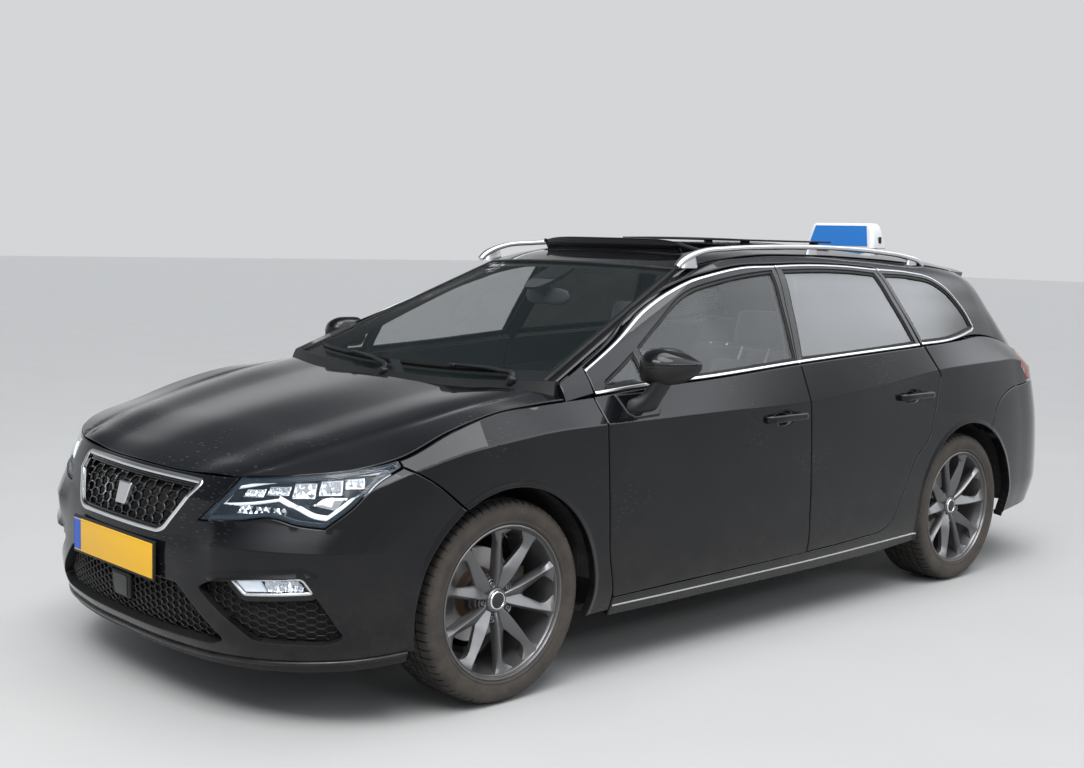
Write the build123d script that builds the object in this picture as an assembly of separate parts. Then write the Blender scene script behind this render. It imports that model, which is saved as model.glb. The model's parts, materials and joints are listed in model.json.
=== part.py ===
import math
import os

from build123d import *

# Compact estate car with a taxi sign on its roof. Millimetres.
# +X is the car's front, +Y its left side, +Z up. The origin is on the ground,
# below the middle of the body's length.

# Driving dimensions
WHEELBASE = 2636
FRONT_AXLE_X = 1416
REAR_AXLE_X = FRONT_AXLE_X - WHEELBASE
FRONT_WHEEL_Y = 766
REAR_WHEEL_Y = 755
TYRE_RADIUS = 318
TYRE_WIDTH = 225
FRONT_ARCH_RADIUS = 360
REAR_ARCH_RADIUS = 370
ARCH_LIP = 16
SHUT_GAP = 6
ARCH_GAP = 11
DOOR_THICKNESS = 70
BUMPER_THICKNESS = 45
UPPER_THICKNESS = 34
GLASS_THICKNESS = 5
GLASS_RECESS = 9
GLASS_FIT = 0.3

# Half the shut gap is taken from each side of a shut line.
HALF_GAP = SHUT_GAP / 2
# How far the door cuts run forward towards the cabin, so that each door swings out past what is behind it
SPLIT_SLOPE = 0.3
DOOR_END_SLOPE = 0.45

# The body's lower wall goes round the car in upright sections, from the middle
# of the nose to the middle of the tail. Each section stands at x, y on the
# widest line and faces its heading (0 is forward, 90 is left, 180 is back).
# Its lower edge, shoulder crease and upper edge each have a height and an inset.
# x, y, heading, sill z, sill inset, crease z, crease inset, belt z, belt inset
LOWER_SECTIONS = [
    (2262, 0, 0, 165, 62, 650, 36, 716, 95),
    (2247, 280, 8, 167, 55, 650, 36, 716, 95),
    (2192, 530, 26, 175, 45, 655, 32, 728, 76),
    (2080, 718, 50, 195, 32, 665, 22, 748, 62),
    (1935, 838, 70, 215, 25, 700, 12, 770, 55),
    (1800, 882, 84, 228, 20, 750, 10, 792, 62),
    (1600, 903, 90, 235, 15, 800, 6, 858, 90),
    (1416, 908, 90, 235, 15, 822, 8, 902, 100),
    (1225, 903, 90, 222, 14, 838, 7, 914, 104),
    (1050, 897, 90, 200, 35, 841, 4, 924, 85),
    (757, 895, 90, 190, 45, 843, 2, 947, 60),
    (422, 895, 90, 190, 45, 845, 2, 962, 50),
    (-80, 897, 90, 190, 45, 850, 2, 993, 45),
    (-600, 899, 90, 200, 40, 888, 12, 1016, 54),
    (-1000, 903, 90, 230, 22, 926, 30, 1031, 74),
    (-1220, 905, 90, 240, 20, 935, 38, 1040, 98),
    (-1500, 898, 91, 250, 22, 940, 52, 1050, 138),
    (-1700, 878, 94, 258, 26, 940, 56, 1030, 150),
    (-1900, 838, 106, 266, 30, 905, 45, 985, 130),
    (-2080, 735, 128, 276, 35, 880, 55, 962, 110),
    (-2195, 540, 152, 284, 40, 868, 60, 950, 92),
    (-2256, 280, 170, 290, 40, 865, 60, 946, 86),
    (-2274, 0, 180, 290, 40, 865, 60, 945, 85),
]
WIDEST_Z = 440

# The upper wall carries the side and rear windows, from the foot of the
# windscreen pillar to the middle of the tailgate. Each section rises from the
# belt to the roof's edge.
# belt x, belt y, belt z, roof x, roof y, roof z
UPPER_SECTIONS = [
    (1111, 800, 905, 1111, 705, 969),
    (969, 815, 915, 969, 674, 1031),
    (757, 835, 925, 757, 628, 1124),
    (590, 840, 932, 590, 592, 1197),
    (422, 845, 940, 422, 556, 1270),
    (286, 847, 947, 286, 525, 1330),
    (190, 848, 952, 190, 545, 1354),
    (-80, 850, 970, -80, 575, 1385),
    (-420, 849, 982, -420, 573, 1390),
    (-850, 838, 1000, -850, 566, 1380),
    (-1220, 807, 1012, -1220, 556, 1362),
    (-1500, 760, 1012, -1450, 545, 1345),
    (-1700, 728, 998, -1600, 528, 1330),
    (-1868, 712, 960, -1700, 480, 1325),
    (-2012, 648, 940, -1765, 400, 1325),
    (-2114, 497, 930, -1810, 290, 1330),
    (-2171, 265, 926, -1830, 150, 1335),
    (-2189, 0, 925, -1835, 0, 1338),
]
# Share of the way up, and how far the wall stands out there.
UPPER_BULGES = [(0, 0), (0.45, 26), (0.87, 26), (1, 0)]

# Bonnet skin: x, height at the middle, y and height at the crease, height at 830 from the middle
BONNET_SECTIONS = [
    (2240, 668, 420, 650, 560),
    (2169, 712, 460, 694, 600),
    (2100, 746, 500, 726, 640),
    (2000, 785, 540, 764, 700),
    (1800, 842, 590, 816, 766),
    (1600, 884, 630, 860, 838),
    (1400, 918, 655, 906, 894),
    (1250, 940, 680, 932, 904),
    (1100, 956, 700, 950, 908),
]
BONNET_EDGE_Y = 830
BONNET_THICKNESS = 20

# Roof skin: x, half width, height at the edge, height at the middle
ROOF_SECTIONS = [
    (345, 495, 1316, 1343),
    (190, 540, 1352, 1380),
    (-80, 570, 1387, 1416),
    (-420, 568, 1392, 1434),
    (-850, 561, 1382, 1436),
    (-1220, 551, 1364, 1422),
    (-1450, 540, 1347, 1408),
    (-1600, 523, 1332, 1392),
    (-1700, 475, 1327, 1382),
    (-1860, 455, 1318, 1362),
]
ROOF_THICKNESS = 28
ROOF_REAR_X = -1640

# Shut lines and openings. Side outlines are x, z points, front ones y, z and
# those seen from above x, y. A line of x, y, z points lies on the outer skin.
WING_OUTLINE = [
    (1111, 918), (1400, 930), (1560, 905), (1660, 870), (1735, 832), (1798, 800), (1798, 772), (1720, 727),
    (1600, 632), (1416, 318), (1100, 215), (952, 215), (952, 262), (978, 394), (1004, 840), (990, 918),
]
BUMPER_REAR_LINE = [
    (2400, 140), (1500, 140), (1500, 560), (1600, 632), (1720, 727), (1798, 772), (1798, 820), (2400, 820),
]
BONNET_OUTLINE = [
    (1262, 0), (1246, 350), (1200, 600), (1122, 786), (1400, 800), (1680, 812), (1798, 814), (1915, 765),
    (2010, 672), (2085, 590), (2128, 515), (2152, 385), (2182, 0),
]
HEADLAMP_OUTLINE = [
    (424, 598), (560, 612), (650, 626), (713, 611), (770, 604), (815, 660), (852, 745), (854, 800),
    (430, 800),
]
GRILLE_OUTLINE = [(-378, 701), (-262, 534), (262, 534), (378, 701)]
GRILLE_MESH_OUTLINE = [(-356, 687), (-253, 548), (253, 548), (356, 687)]
INTAKE_OUTLINE = [(-337, 400), (-520, 256), (-468, 238), (468, 238), (520, 256), (337, 400)]
FOG_POCKET_OUTLINE = [(470, 425), (735, 464), (806, 290), (775, 266), (610, 270), (430, 400)]
FOG_LAMP_OUTLINE = [(547, 434), (727, 460), (752, 416), (603, 405)]
FRONT_DOOR_OUTLINE = [
    (950, 262), (978, 394), (1004, 840), (983, 925), (983, 1012), (787, 1100), (588, 1193), (389, 1268),
    (191, 1322), (31, 1348), (-300, 1360), (-300, 275),
]
REAR_DOOR_OUTLINE = [
    (100, 1350), (-110, 1357), (-421, 1360), (-645, 1355), (-860, 1343), (-1100, 1343), (-1100, 683),
    (-924, 683), (-800, 560), (-720, 430), (-674, 361), (-640, 315), (-589, 297), (-456, 286), (100, 273),
]
DOOR_SPLIT = [
    (-170, 600, 1420), (-147, 640, 1343), (-58, 850, 993), (-76, 895, 853), (-92, 900, 553), (-98, 880, 339),
    (-98, 880, 200),
]
REAR_DOOR_END = [
    (-830, 600, 1420), (-835, 632, 1325), (-922, 839, 1029), (-998, 880, 905), (-946, 895, 751),
    (-924, 895, 683), (-924, 895, 200),
]
PILLAR_WINDOW = [(925, 948), (925, 968), (740, 1058), (740, 955)]
FRONT_WINDOW = [
    (712, 957), (712, 1072), (560, 1158), (389, 1243), (191, 1296), (31, 1322), (-122, 1334), (-52, 1004),
    (422, 972),
]
REAR_WINDOW = [
    (-178, 1336), (-421, 1338), (-645, 1333), (-808, 1324), (-888, 1040), (-500, 1022), (-88, 1006),
]
QUARTER_WINDOW = [
    (-868, 1320), (-1091, 1310), (-1263, 1282), (-1367, 1226), (-1440, 1150), (-1470, 1085), (-1411, 1076),
    (-1173, 1050), (-948, 1042),
]
REAR_BUMPER_OUTLINE = [
    (-2400, 240), (-1380, 240), (-1395, 640), (-1496, 768), (-1600, 808), (-1800, 828), (-2400, 828),
]
TAIL_LAMP_OUTLINE = [(-2400, 950), (-1800, 946), (-1765, 905), (-1830, 838), (-2400, 838)]
TAILGATE_EDGE = [
    (-2235, 540, 600), (-2195, 585, 700), (-2150, 615, 830), (-2090, 640, 950), (-1960, 600, 1060),
    (-1770, 480, 1290), (-1700, 478, 1420),
]
TAILGATE_WINDOW = [(-590, 985), (-560, 1060), (-455, 1275), (455, 1275), (560, 1060), (590, 985)]

# Pillar between the doors, y and z
B_POST = [
    (740, 226), (800, 226), (800, 262), (786, 275), (786, 960), (552, 1340), (545, 1359), (560, 1362),
    (560, 1374), (500, 1374), (495, 1340), (740, 960),
]
B_POST_X = (-150, -45)

# Door handles, solid bars on the doors' skins: front x, rear x, middle z
DOOR_HANDLES = {"front": (190, -42, 800), "rear": (-680, -905, 830)}
HANDLE_Y = (876, 922)
HANDLE_HEIGHT = 26
HANDLE_TAPER = 32

# Door mirror: x, width, height and corner radius of its sections, about a middle line
MIRROR_SECTIONS = [
    (704, 138, 98, 30), (712, 150, 114, 38), (775, 152, 118, 42), (822, 128, 98, 38), (846, 84, 62, 28),
]
MIRROR_Y, MIRROR_Z = 932, 1018
MIRROR_GLASS = (128, 88, 26)
MIRROR_GLASS_DEPTH = 5
# Its foot on the door and its neck below the housing: x range, y range, z
MIRROR_NECK = [((748, 892), (848, 908), 884), ((728, 832), (880, 958), 968)]

# Roof rails: their upper line in x and z, and their feet's x with the height that each reaches
RAIL_LINE = [
    (322, 1340), (262, 1376), (190, 1400), (-180, 1428), (-600, 1432), (-1000, 1416), (-1230, 1392),
    (-1320, 1356),
]
RAIL_HEIGHT = 20
RAIL_Y = (541, 565)
RAIL_FEET = {250: 1372, -500: 1400, -1240: 1372}

# Taxi sign: depth and width of its housing at its foot and top
SIGN_X = -1522
SIGN_BASE = (124, 396)
SIGN_TOP = (72, 340)
SIGN_Z = (1422, 1540)
SIGN_EDGE = 12
SIGN_FOOT = (110, 300, 1385)

# Number plates: half width, lower and upper edge
PLATE_HALF_WIDTH = 260
FRONT_PLATE_Z = (396, 507)
REAR_PLATE_Z = (690, 800)

# Panel below the windscreen, from above
SCUTTLE_HALF = [(1254, 0), (1238, 350), (1192, 600), (1135, 745), (1100, 770)]
SCUTTLE_Z = (905, 918)

# Windscreen: how its lower and upper edges run from the middle to their ends
SCREEN_FOOT = (1200, 696, 945)
SCREEN_FOOT_BACK, SCREEN_FOOT_RISE = 89, 24
SCREEN_HEAD = (336, 514, 1342)
SCREEN_HEAD_BACK, SCREEN_HEAD_RISE = 50, -12
SCREEN_THICKNESS = 6

# Sunroof: the open part of the roof, and the pane slid back above its rear part
SUNROOF_X = (-330, 130)
SUNROOF_HALF_WIDTH = 380
SLID_PANE_X = (-900, -345)
SLID_PANE_HALF_WIDTH = 370
SLID_PANE_Z = (1446, 1452)
DEFLECTOR_X, DEFLECTOR_Y, DEFLECTOR_Z = 118, 375, 1436
DEFLECTOR_FOOT = (-60, 1392)

# Running gear
STEER_FOOT = (1416, 694, 158)
STRUT_FOOT = (1416, 625, 400)
STRUT_HEAD = (1416, 590, 790)
DISC_RADIUS = 150
HUB_RADIUS = 62
AXLE_BORE = 22
SPOKE_PAIRS = 5
SPOKE_SPREAD = 17
# A spoke's sections: radius, half width, y at its back, at its edges and on its ridge
SPOKE_SECTIONS = [(40, 9, 26, 44, 50), (72, 9, 38, 60, 68), (150, 11, 58, 78, 86), (222, 19, 62, 84, 90)]

# Seats and steering wheel
SEAT_Y = 365
STEERING_WHEEL_CENTRE = (560, 365, 820)
STEERING_WHEEL_RADIUS = 182
STEERING_TILT = 25

# Dashboard in x and z, and the blocks of the console: x, y and z ranges
DASH_PROFILE = [(1060, 560), (1060, 890), (960, 925), (790, 925), (735, 880), (770, 700), (800, 560)]
DASH_HALF_WIDTH = 735
CONSOLE_BLOCKS = [((150, 900), (-105, 105), (300, 565)), ((-150, 160), (-100, 100), (300, 560))]

# Floor: x, y and z ranges of the cabin floor, load floor, step up to it, bulkhead and tunnel
FLOOR_BLOCKS = [
    ((-620, 1085), (-775, 775), (208, 226)),
    ((-2080, -602), (-560, 560), (430, 446)),
    ((-620, -602), (-560, 560), (208, 446)),
    ((1067, 1085), (-775, 775), (208, 900)),
    ((-602, 1067), (-110, 110), (226, 300)),
]
ENGINE_BLOCK = ((1300, 1760), (-330, 330), (345, 740))
# Front suspension arm from above, and the cross member's blocks
FRONT_ARM = [(1240, 330), (1300, 330), (1425, 600), (1540, 330), (1600, 330), (1440, 706), (1392, 706)]
FRONT_ARM_Z = (128, 146)
CROSS_MEMBER = [((1180, 1640), (-335, 335), (190, 228)), ((1380, 1450), (-335, 335), (228, 335))]
ARM_BEARING = ((1240, 1600), (300, 345), (128, 192))

# Exhaust: start, end and radius of its pipes, and the silencer's x, y and z ranges
EXHAUST_PIPES = [
    ((1100, 150, 172), (-1500, 150, 172), 28),
    ((-1500, 150, 172), (-1600, 150, 330), 28),
    ((-1950, 380, 310), (-2205, 380, 232), 30),
]
SILENCER = ((-1980, -1560), (-320, 420), (300, 400))

# Jacking pads below the sills
JACK_PAD_X = (880, -620)
JACK_PAD_Z = 182


def lower_section(row, thickness, recess):
    """Return one closed upright section of the lower wall."""
    x, y, heading, sill_z, sill_in, crease_z, crease_in, belt_z, belt_in = row
    outward = Vector(math.cos(math.radians(heading)), math.sin(math.radians(heading)))
    outer = [
        (sill_in, sill_z),
        (sill_in * 0.3, sill_z + 75),
        (0, WIDEST_Z),
        (crease_in * 0.2, (WIDEST_Z + crease_z) / 2),
        (crease_in, crease_z),
        (belt_in, belt_z),
    ]
    inner = [
        (belt_in + max(40, thickness - 30), belt_z),
        (crease_in + thickness, crease_z - 30),
        (thickness, WIDEST_Z),
        (sill_in + thickness, sill_z),
    ]
    corners = [Vector(x, y, z) - outward * (inset + recess) for inset, z in outer + inner]
    return Wire.make_polygon(corners, close=True)


def upper_section(row, thickness, recess):
    """Return one closed upright section of the upper wall."""
    foot = Vector(*row[:3])
    head = Vector(*row[3:])
    chord = head - foot
    level = Vector(chord.X, chord.Y, 0).normalized()
    run = math.hypot(chord.X, chord.Y)
    outward = Vector(-level.X * chord.Z, -level.Y * chord.Z, run).normalized()
    outer = [foot + chord * share + outward * (bulge - recess) for share, bulge in UPPER_BULGES]
    inner = [corner - outward * thickness for corner in reversed(outer)]
    return Wire.make_polygon(outer + inner, close=True)


def lower_wall(thickness, recess=0.0):
    """Return the left half of the lower wall, as one ruled loft."""
    sections = [lower_section(row, thickness, recess) for row in LOWER_SECTIONS]
    return Part() + Solid.make_loft(sections, ruled=True)


def upper_wall(thickness=UPPER_THICKNESS, recess=0.0):
    """Return the left half of the upper wall, as one ruled loft."""
    sections = [upper_section(row, thickness, recess) for row in UPPER_SECTIONS]
    return Part() + Solid.make_loft(sections, ruled=True)


def flat_outline(points, gap):
    """Return a closed outline drawn in by a gap, or out by a negative one."""
    outline = Polygon(*points, align=None)
    return offset(outline, amount=-gap, kind=Kind.INTERSECTION) if gap else outline


def from_side(points, gap=0.0, inner_y=300, outer_y=1100):
    """Return a prism across the car's left half, from x, z points."""
    face = Plane.XZ.offset(-inner_y) * flat_outline(points, gap)
    return extrude(face, amount=outer_y - inner_y, dir=(0, 1, 0))


def from_front(points, gap=0.0, low_x=1300, high_x=2400):
    """Return a prism along the car, from y, z points."""
    return extrude(Plane.YZ.offset(low_x) * flat_outline(points, gap), amount=high_x - low_x, dir=(1, 0, 0))


def from_above(points, gap=0.0, low_z=0, high_z=1600):
    """Return an upright prism from x, y points."""
    return extrude(Plane.XY.offset(low_z) * flat_outline(points, gap), amount=high_z - low_z, dir=(0, 0, 1))


def ahead_of(edge, slope, shift, front_x=1400, inner_y=250, outer_y=1100):
    """Return all that lies in front of a cut through x, y, z points moved along X.

    Towards the car's middle the cut runs forward by the slope.
    """
    levels = []
    for plane_y in (inner_y, outer_y):
        line = [Vector(x + shift + slope * (y - plane_y), plane_y, z) for x, y, z in edge]
        line += [Vector(front_x, plane_y, edge[-1][2]), Vector(front_x, plane_y, edge[0][2])]
        levels.append(Wire.make_polygon(line, close=True))
    return Part() + Solid.make_loft(levels, ruled=True)


def mirrored(shape):
    """Return a shape's mirror image on the other side of the car."""
    return mirror(shape, about=Plane.XZ)


def both_sides(shape):
    """Return a shape with its mirror image."""
    return shape + mirrored(shape)


def across(radius, x, z, low_y, high_y):
    """Return a cylinder across the car between two distances from its middle."""
    return Pos(x, (low_y + high_y) / 2, z) * Cylinder(radius, high_y - low_y, rotation=(90, 0, 0))


def block(x_range, y_range, z_range):
    """Return a box between two limits on each axis."""
    spans = [high - low for low, high in (x_range, y_range, z_range)]
    centre = [(high + low) / 2 for low, high in (x_range, y_range, z_range)]
    return Pos(*centre) * Box(*spans)


def rod(start, end, radius):
    """Return a round rod between two points."""
    line = Edge.make_line(start, end)
    circle = Wire.make_circle(radius, Plane(start, z_dir=line % 0))
    return Part() + Solid.extrude(Face(circle), line @ 1 - line @ 0)


def honeycomb(outline, low_x, high_x, pitch, row_height, cell_width, cell_height):
    """Return rows of long six-sided cells, each whole inside an outline."""
    field = Polygon(*outline, align=None)
    box = field.bounding_box()
    half_w, half_h = cell_width / 2, cell_height / 2
    flat = half_w * 0.62
    corners = [(-half_w, 0), (-flat, half_h), (flat, half_h), (half_w, 0), (flat, -half_h), (-flat, -half_h)]
    row_count = round((box.max.Y - box.min.Y) / row_height)
    reach = int(max(abs(box.max.X), abs(box.min.X)) / pitch) + 1
    cells = []
    for row in range(row_count):
        z = box.min.Y + (box.max.Y - box.min.Y) * (row + 0.5) / row_count
        for column in range(-reach, reach + 1):
            y = (column + 0.5 * (row % 2)) * pitch
            cell = Pos(y, z) * Polygon(*corners, align=None)
            if abs((cell & field).area - cell.area) < 0.5:
                cells.append(extrude(Plane.YZ.offset(low_x) * cell, amount=high_x - low_x, dir=(1, 0, 0)))
    return Part() + cells


def recessed_plate(outline, recess, thickness, gap=0.0):
    """Return a plate set back in the nose, inside a front outline."""
    return lower_wall(thickness, recess) & from_front(outline, gap, low_x=1850)


# Side of the body, with its wheel arches
front_arch = across(FRONT_ARCH_RADIUS, FRONT_AXLE_X, TYRE_RADIUS, 420, 1100)
rear_arch = across(REAR_ARCH_RADIUS, REAR_AXLE_X, TYRE_RADIUS, 420, 1100)
side_wall = lower_wall(DOOR_THICKNESS) + upper_wall() - front_arch - rear_arch

# Doors, with their handles
front_of_split = ahead_of(DOOR_SPLIT, SPLIT_SLOPE, HALF_GAP)
rear_door_start = ahead_of(DOOR_SPLIT, SPLIT_SLOPE, -HALF_GAP)
rear_arch_lip = across(REAR_ARCH_RADIUS + ARCH_LIP, REAR_AXLE_X, TYRE_RADIUS, 420, 1100)
rear_arch_gap = across(REAR_ARCH_RADIUS + ARCH_LIP + ARCH_GAP, REAR_AXLE_X, TYRE_RADIUS, 420, 1100)
front_door = side_wall & from_side(FRONT_DOOR_OUTLINE, HALF_GAP) & front_of_split
rear_door = side_wall & from_side(REAR_DOOR_OUTLINE, HALF_GAP)
rear_door &= ahead_of(REAR_DOOR_END, DOOR_END_SLOPE, HALF_GAP)
rear_door -= rear_door_start + rear_arch_gap
rear_door_space = from_side(REAR_DOOR_OUTLINE, -HALF_GAP) & ahead_of(REAR_DOOR_END, DOOR_END_SLOPE, -HALF_GAP)
rear_door_space -= rear_arch_lip
for door, (front_x, rear_x, middle_z) in DOOR_HANDLES.items():
    inner_y, outer_y = HANDLE_Y
    plan = [
        (front_x, inner_y), (front_x - HANDLE_TAPER / 4, outer_y - 10), (front_x - HANDLE_TAPER, outer_y),
        (rear_x + HANDLE_TAPER, outer_y), (rear_x + HANDLE_TAPER / 4, outer_y - 10), (rear_x, inner_y),
    ]
    handle = from_above(plan, 0, middle_z - HANDLE_HEIGHT / 2, middle_z + HANDLE_HEIGHT / 2)
    if door == "front":
        front_door += handle
    else:
        rear_door += handle
front_door_space = from_side(FRONT_DOOR_OUTLINE, -HALF_GAP)

window_depth = upper_wall(UPPER_THICKNESS + 60, -30)
front_door -= window_depth & (from_side(FRONT_WINDOW) + from_side(PILLAR_WINDOW))
rear_door -= window_depth & from_side(REAR_WINDOW)
quarter_opening = window_depth & from_side(QUARTER_WINDOW)
pane_sheet = upper_wall(GLASS_THICKNESS, GLASS_RECESS)
front_door_glass = pane_sheet & (from_side(FRONT_WINDOW, GLASS_FIT) + from_side(PILLAR_WINDOW, GLASS_FIT))
rear_door_glass = pane_sheet & from_side(REAR_WINDOW, GLASS_FIT)
quarter_glass = pane_sheet & from_side(QUARTER_WINDOW, GLASS_FIT)

# Bonnet
bonnet_sections = []
for x, middle_z, crease_y, crease_z, edge_z in BONNET_SECTIONS:
    left = [(crease_y, crease_z), (BONNET_EDGE_Y, edge_z)]
    skin = [(-y, z) for y, z in reversed(left)] + [(0, middle_z)] + left
    lining = [(y, z - BONNET_THICKNESS) for y, z in reversed(skin)]
    bonnet_sections.append(Wire.make_polygon([Vector(x, y, z) for y, z in skin + lining], close=True))
bonnet_slab = Part() + Solid.make_loft(bonnet_sections, ruled=True)
bonnet_plan = BONNET_OUTLINE + [(x, -y) for x, y in reversed(BONNET_OUTLINE)][1:-1]
bonnet = bonnet_slab & from_above(bonnet_plan, HALF_GAP)
bonnet_space = from_above(bonnet_plan, -HALF_GAP, low_z=600)

# Front wings, bumper and lamps
nose_wall = lower_wall(BUMPER_THICKNESS)
front_wing = (lower_wall(DOOR_THICKNESS) & from_side(WING_OUTLINE, HALF_GAP)) - front_arch - bonnet_space
headlamp_space = from_front(HEADLAMP_OUTLINE, -HALF_GAP, low_x=1792)
front_wing -= headlamp_space
headlamp = (lower_wall(100) & from_front(HEADLAMP_OUTLINE, low_x=1796)) - bonnet_space
bumper_half = nose_wall & from_side(BUMPER_REAR_LINE, HALF_GAP, inner_y=0)
bumper_half -= front_arch + bonnet_space + headlamp_space
bumper_half -= from_front(GRILLE_OUTLINE, -1) + from_front(INTAKE_OUTLINE)
bumper_half -= from_front(FOG_POCKET_OUTLINE, low_x=1850)
front_bumper = both_sides(bumper_half)
front_bumper = Part() + max(front_bumper.solids(), key=lambda solid: solid.volume)

grille_frame = both_sides(recessed_plate(GRILLE_OUTLINE, -4, 30))
grille_frame -= from_front(GRILLE_MESH_OUTLINE) + bonnet_space
grille_plate = both_sides(recessed_plate(GRILLE_MESH_OUTLINE, 12, 9))
grille_cells = honeycomb(GRILLE_MESH_OUTLINE, 2050, 2300, 64, 27, 56, 20)
upper_grille = grille_frame + (grille_plate - grille_cells - bonnet_space)
intake_plate = both_sides(recessed_plate(INTAKE_OUTLINE, 22, 8, GLASS_FIT))
intake_cells = honeycomb(INTAKE_OUTLINE, 2000, 2300, 74, 36, 64, 27)
pocket_plate = recessed_plate(FOG_POCKET_OUTLINE, 22, 8, GLASS_FIT) - from_front(FOG_LAMP_OUTLINE, -1)
lower_grilles = (intake_plate - intake_cells) + both_sides(pocket_plate)
fog_lamps = both_sides(lower_wall(40, 6) & from_front(FOG_LAMP_OUTLINE, low_x=1850))

# Rear bumper, tail lamps and tailgate
tail_wall = lower_wall(60)


def tailgate_prism(shift):
    """Return the space inside the tailgate's shut line, drafted towards the cabin."""
    levels = []
    for plane_x in (-1400, -2400):
        side = [(y - 0.25 * (plane_x - x) + shift, z) for x, y, z in TAILGATE_EDGE]
        side[0] = (side[0][0], side[0][1] - shift)
        points = side + [(-y, z) for y, z in reversed(side)]
        levels.append(Wire.make_polygon([Vector(plane_x, y, z) for y, z in points], close=True))
    return Part() + Solid.make_loft(levels, ruled=True)


tailgate_inside = tailgate_prism(-HALF_GAP)
tailgate_space = tailgate_prism(HALF_GAP)
tail_zone = block((-2400, ROOF_REAR_X - HALF_GAP), (-1000, 1000), (100, 1600))
lamp_prism = from_side(TAIL_LAMP_OUTLINE, 0, inner_y=380)
lamp_room = from_side(TAIL_LAMP_OUTLINE, -1, inner_y=379)
rear_lamp = ((lower_wall(80) & lamp_prism) - tailgate_space)
rear_bumper_half = tail_wall & from_side(REAR_BUMPER_OUTLINE, HALF_GAP, inner_y=-1)
rear_bumper_half -= rear_arch + tailgate_space
rear_bumper = both_sides(rear_bumper_half)
rear_bumper_space = from_side(REAR_BUMPER_OUTLINE, -HALF_GAP, inner_y=-1)

tail_shell = both_sides(tail_wall + upper_wall()) & tail_zone & tailgate_inside

# Tailgate, with its spoiler and window
spoiler_sections = []
for x, half_width, edge_z, middle_z in ROOF_SECTIONS[-3:]:
    lower_z = edge_z - 22
    skin = [
        (-half_width, edge_z), (-half_width / 2, middle_z - 6), (0, middle_z), (half_width / 2, middle_z - 6),
        (half_width, edge_z),
    ]
    floor_line = [(half_width, lower_z), (-half_width, lower_z)]
    spoiler_sections.append(Wire.make_polygon([Vector(x, y, z) for y, z in skin + floor_line], close=True))
spoiler = (Part() + Solid.make_loft(spoiler_sections, ruled=True)) & tail_zone
tail_glass_prism = from_front(TAILGATE_WINDOW, low_x=-2400, high_x=-1650)
tailgate = (tail_shell - tail_glass_prism - lamp_room - mirrored(lamp_room)) + spoiler
tail_pane = both_sides(upper_wall(GLASS_THICKNESS, GLASS_RECESS))
tail_pane &= from_front(TAILGATE_WINDOW, GLASS_FIT, -2400, -1650)
tailgate_glass = tail_pane - spoiler
tailgate_lamps = both_sides(lower_wall(55) & lamp_prism & tailgate_inside)

# Side frames: sills, pillars, roof rails' edges and rear quarters
side_frame = side_wall - block((1111, 2400), (0, 1100), (0, 1500)) - from_side(WING_OUTLINE, -HALF_GAP)
side_frame -= front_door_space + rear_door_space
side_frame -= tailgate_space & block((-2400, -1500), (-1000, 1000), (0, 1600))
side_frame -= from_above([(-1637, 0), (-1637, 545), (-1700, 500), (-1900, 478), (-1900, 0)], low_z=1285)
side_frame -= rear_bumper_space
side_frame -= lamp_room
side_frame -= quarter_opening
side_frame += from_front(B_POST, 0, *B_POST_X)
for x in JACK_PAD_X:
    side_frame += block((x - 30, x + 30), (795, 835), (JACK_PAD_Z, 215))


# Windscreen and scuttle
def screen_point(across_share, up_share, lift=0.0):
    """Return a point on the windscreen's outer face, or lifted off it."""
    foot_x, foot_y, foot_z = SCREEN_FOOT
    head_x, head_y, head_z = SCREEN_HEAD
    square = across_share * across_share
    foot = Vector(foot_x - SCREEN_FOOT_BACK * square, foot_y * across_share, foot_z + SCREEN_FOOT_RISE * square)
    head = Vector(head_x - SCREEN_HEAD_BACK * square, head_y * across_share, head_z + SCREEN_HEAD_RISE * square)
    slope = head - foot
    normal = Vector(slope.Z, 0, -slope.X).normalized()
    return foot + slope * up_share + normal * lift


screen_sections = []
screen_edges = ((0, 0), (1, 0), (1, -SCREEN_THICKNESS), (0, -SCREEN_THICKNESS))
for step in range(-4, 5):
    corners = [screen_point(step / 4, up, lift) for up, lift in screen_edges]
    screen_sections.append(Wire.make_polygon(corners, close=True))
windscreen = Part() + Solid.make_loft(screen_sections, ruled=True)
scuttle = from_above(SCUTTLE_HALF + [(x, -y) for x, y in reversed(SCUTTLE_HALF)][:-1], 0, *SCUTTLE_Z)
# Each wiper's ends, as shares across the screen
wipers = Part()
for pivot, tip in ((0.84, 0.0), (-0.04, -0.84)):
    wipers += rod(screen_point(pivot, 0.04, 14), screen_point(tip, 0.05, 14), 6)

# Roof, with the sunroof open
roof_sections = []
for x, half_width, edge_z, middle_z in ROOF_SECTIONS:
    shoulder_y, shoulder_z = half_width * 0.6, edge_z + (middle_z - edge_z) * 0.7
    left = [(shoulder_y, shoulder_z), (half_width, edge_z)]
    skin = [(-y, z) for y, z in reversed(left)] + [(0, middle_z)] + left
    lining = [(y * 0.93, z - 4 if abs(y) == half_width else z - ROOF_THICKNESS) for y, z in reversed(skin)]
    roof_sections.append(Wire.make_polygon([Vector(x, y, z) for y, z in skin + lining], close=True))
roof_slab = Part() + Solid.make_loft(roof_sections, ruled=True)
roof_zone = block((ROOF_REAR_X + HALF_GAP, 400), (-1000, 1000), (1200, 1600))
sunroof_hole = block(SUNROOF_X, (-SUNROOF_HALF_WIDTH, SUNROOF_HALF_WIDTH), (1200, 1600))
head_x, head_y, head_z = SCREEN_HEAD
header_line = [(head_x - SCREEN_HEAD_BACK * (step / 4) ** 2 - 5, head_y * step / 4) for step in range(-5, 6)]
screen_zone = from_above(header_line + [(500, 700), (500, -700)], low_z=1200)
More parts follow.
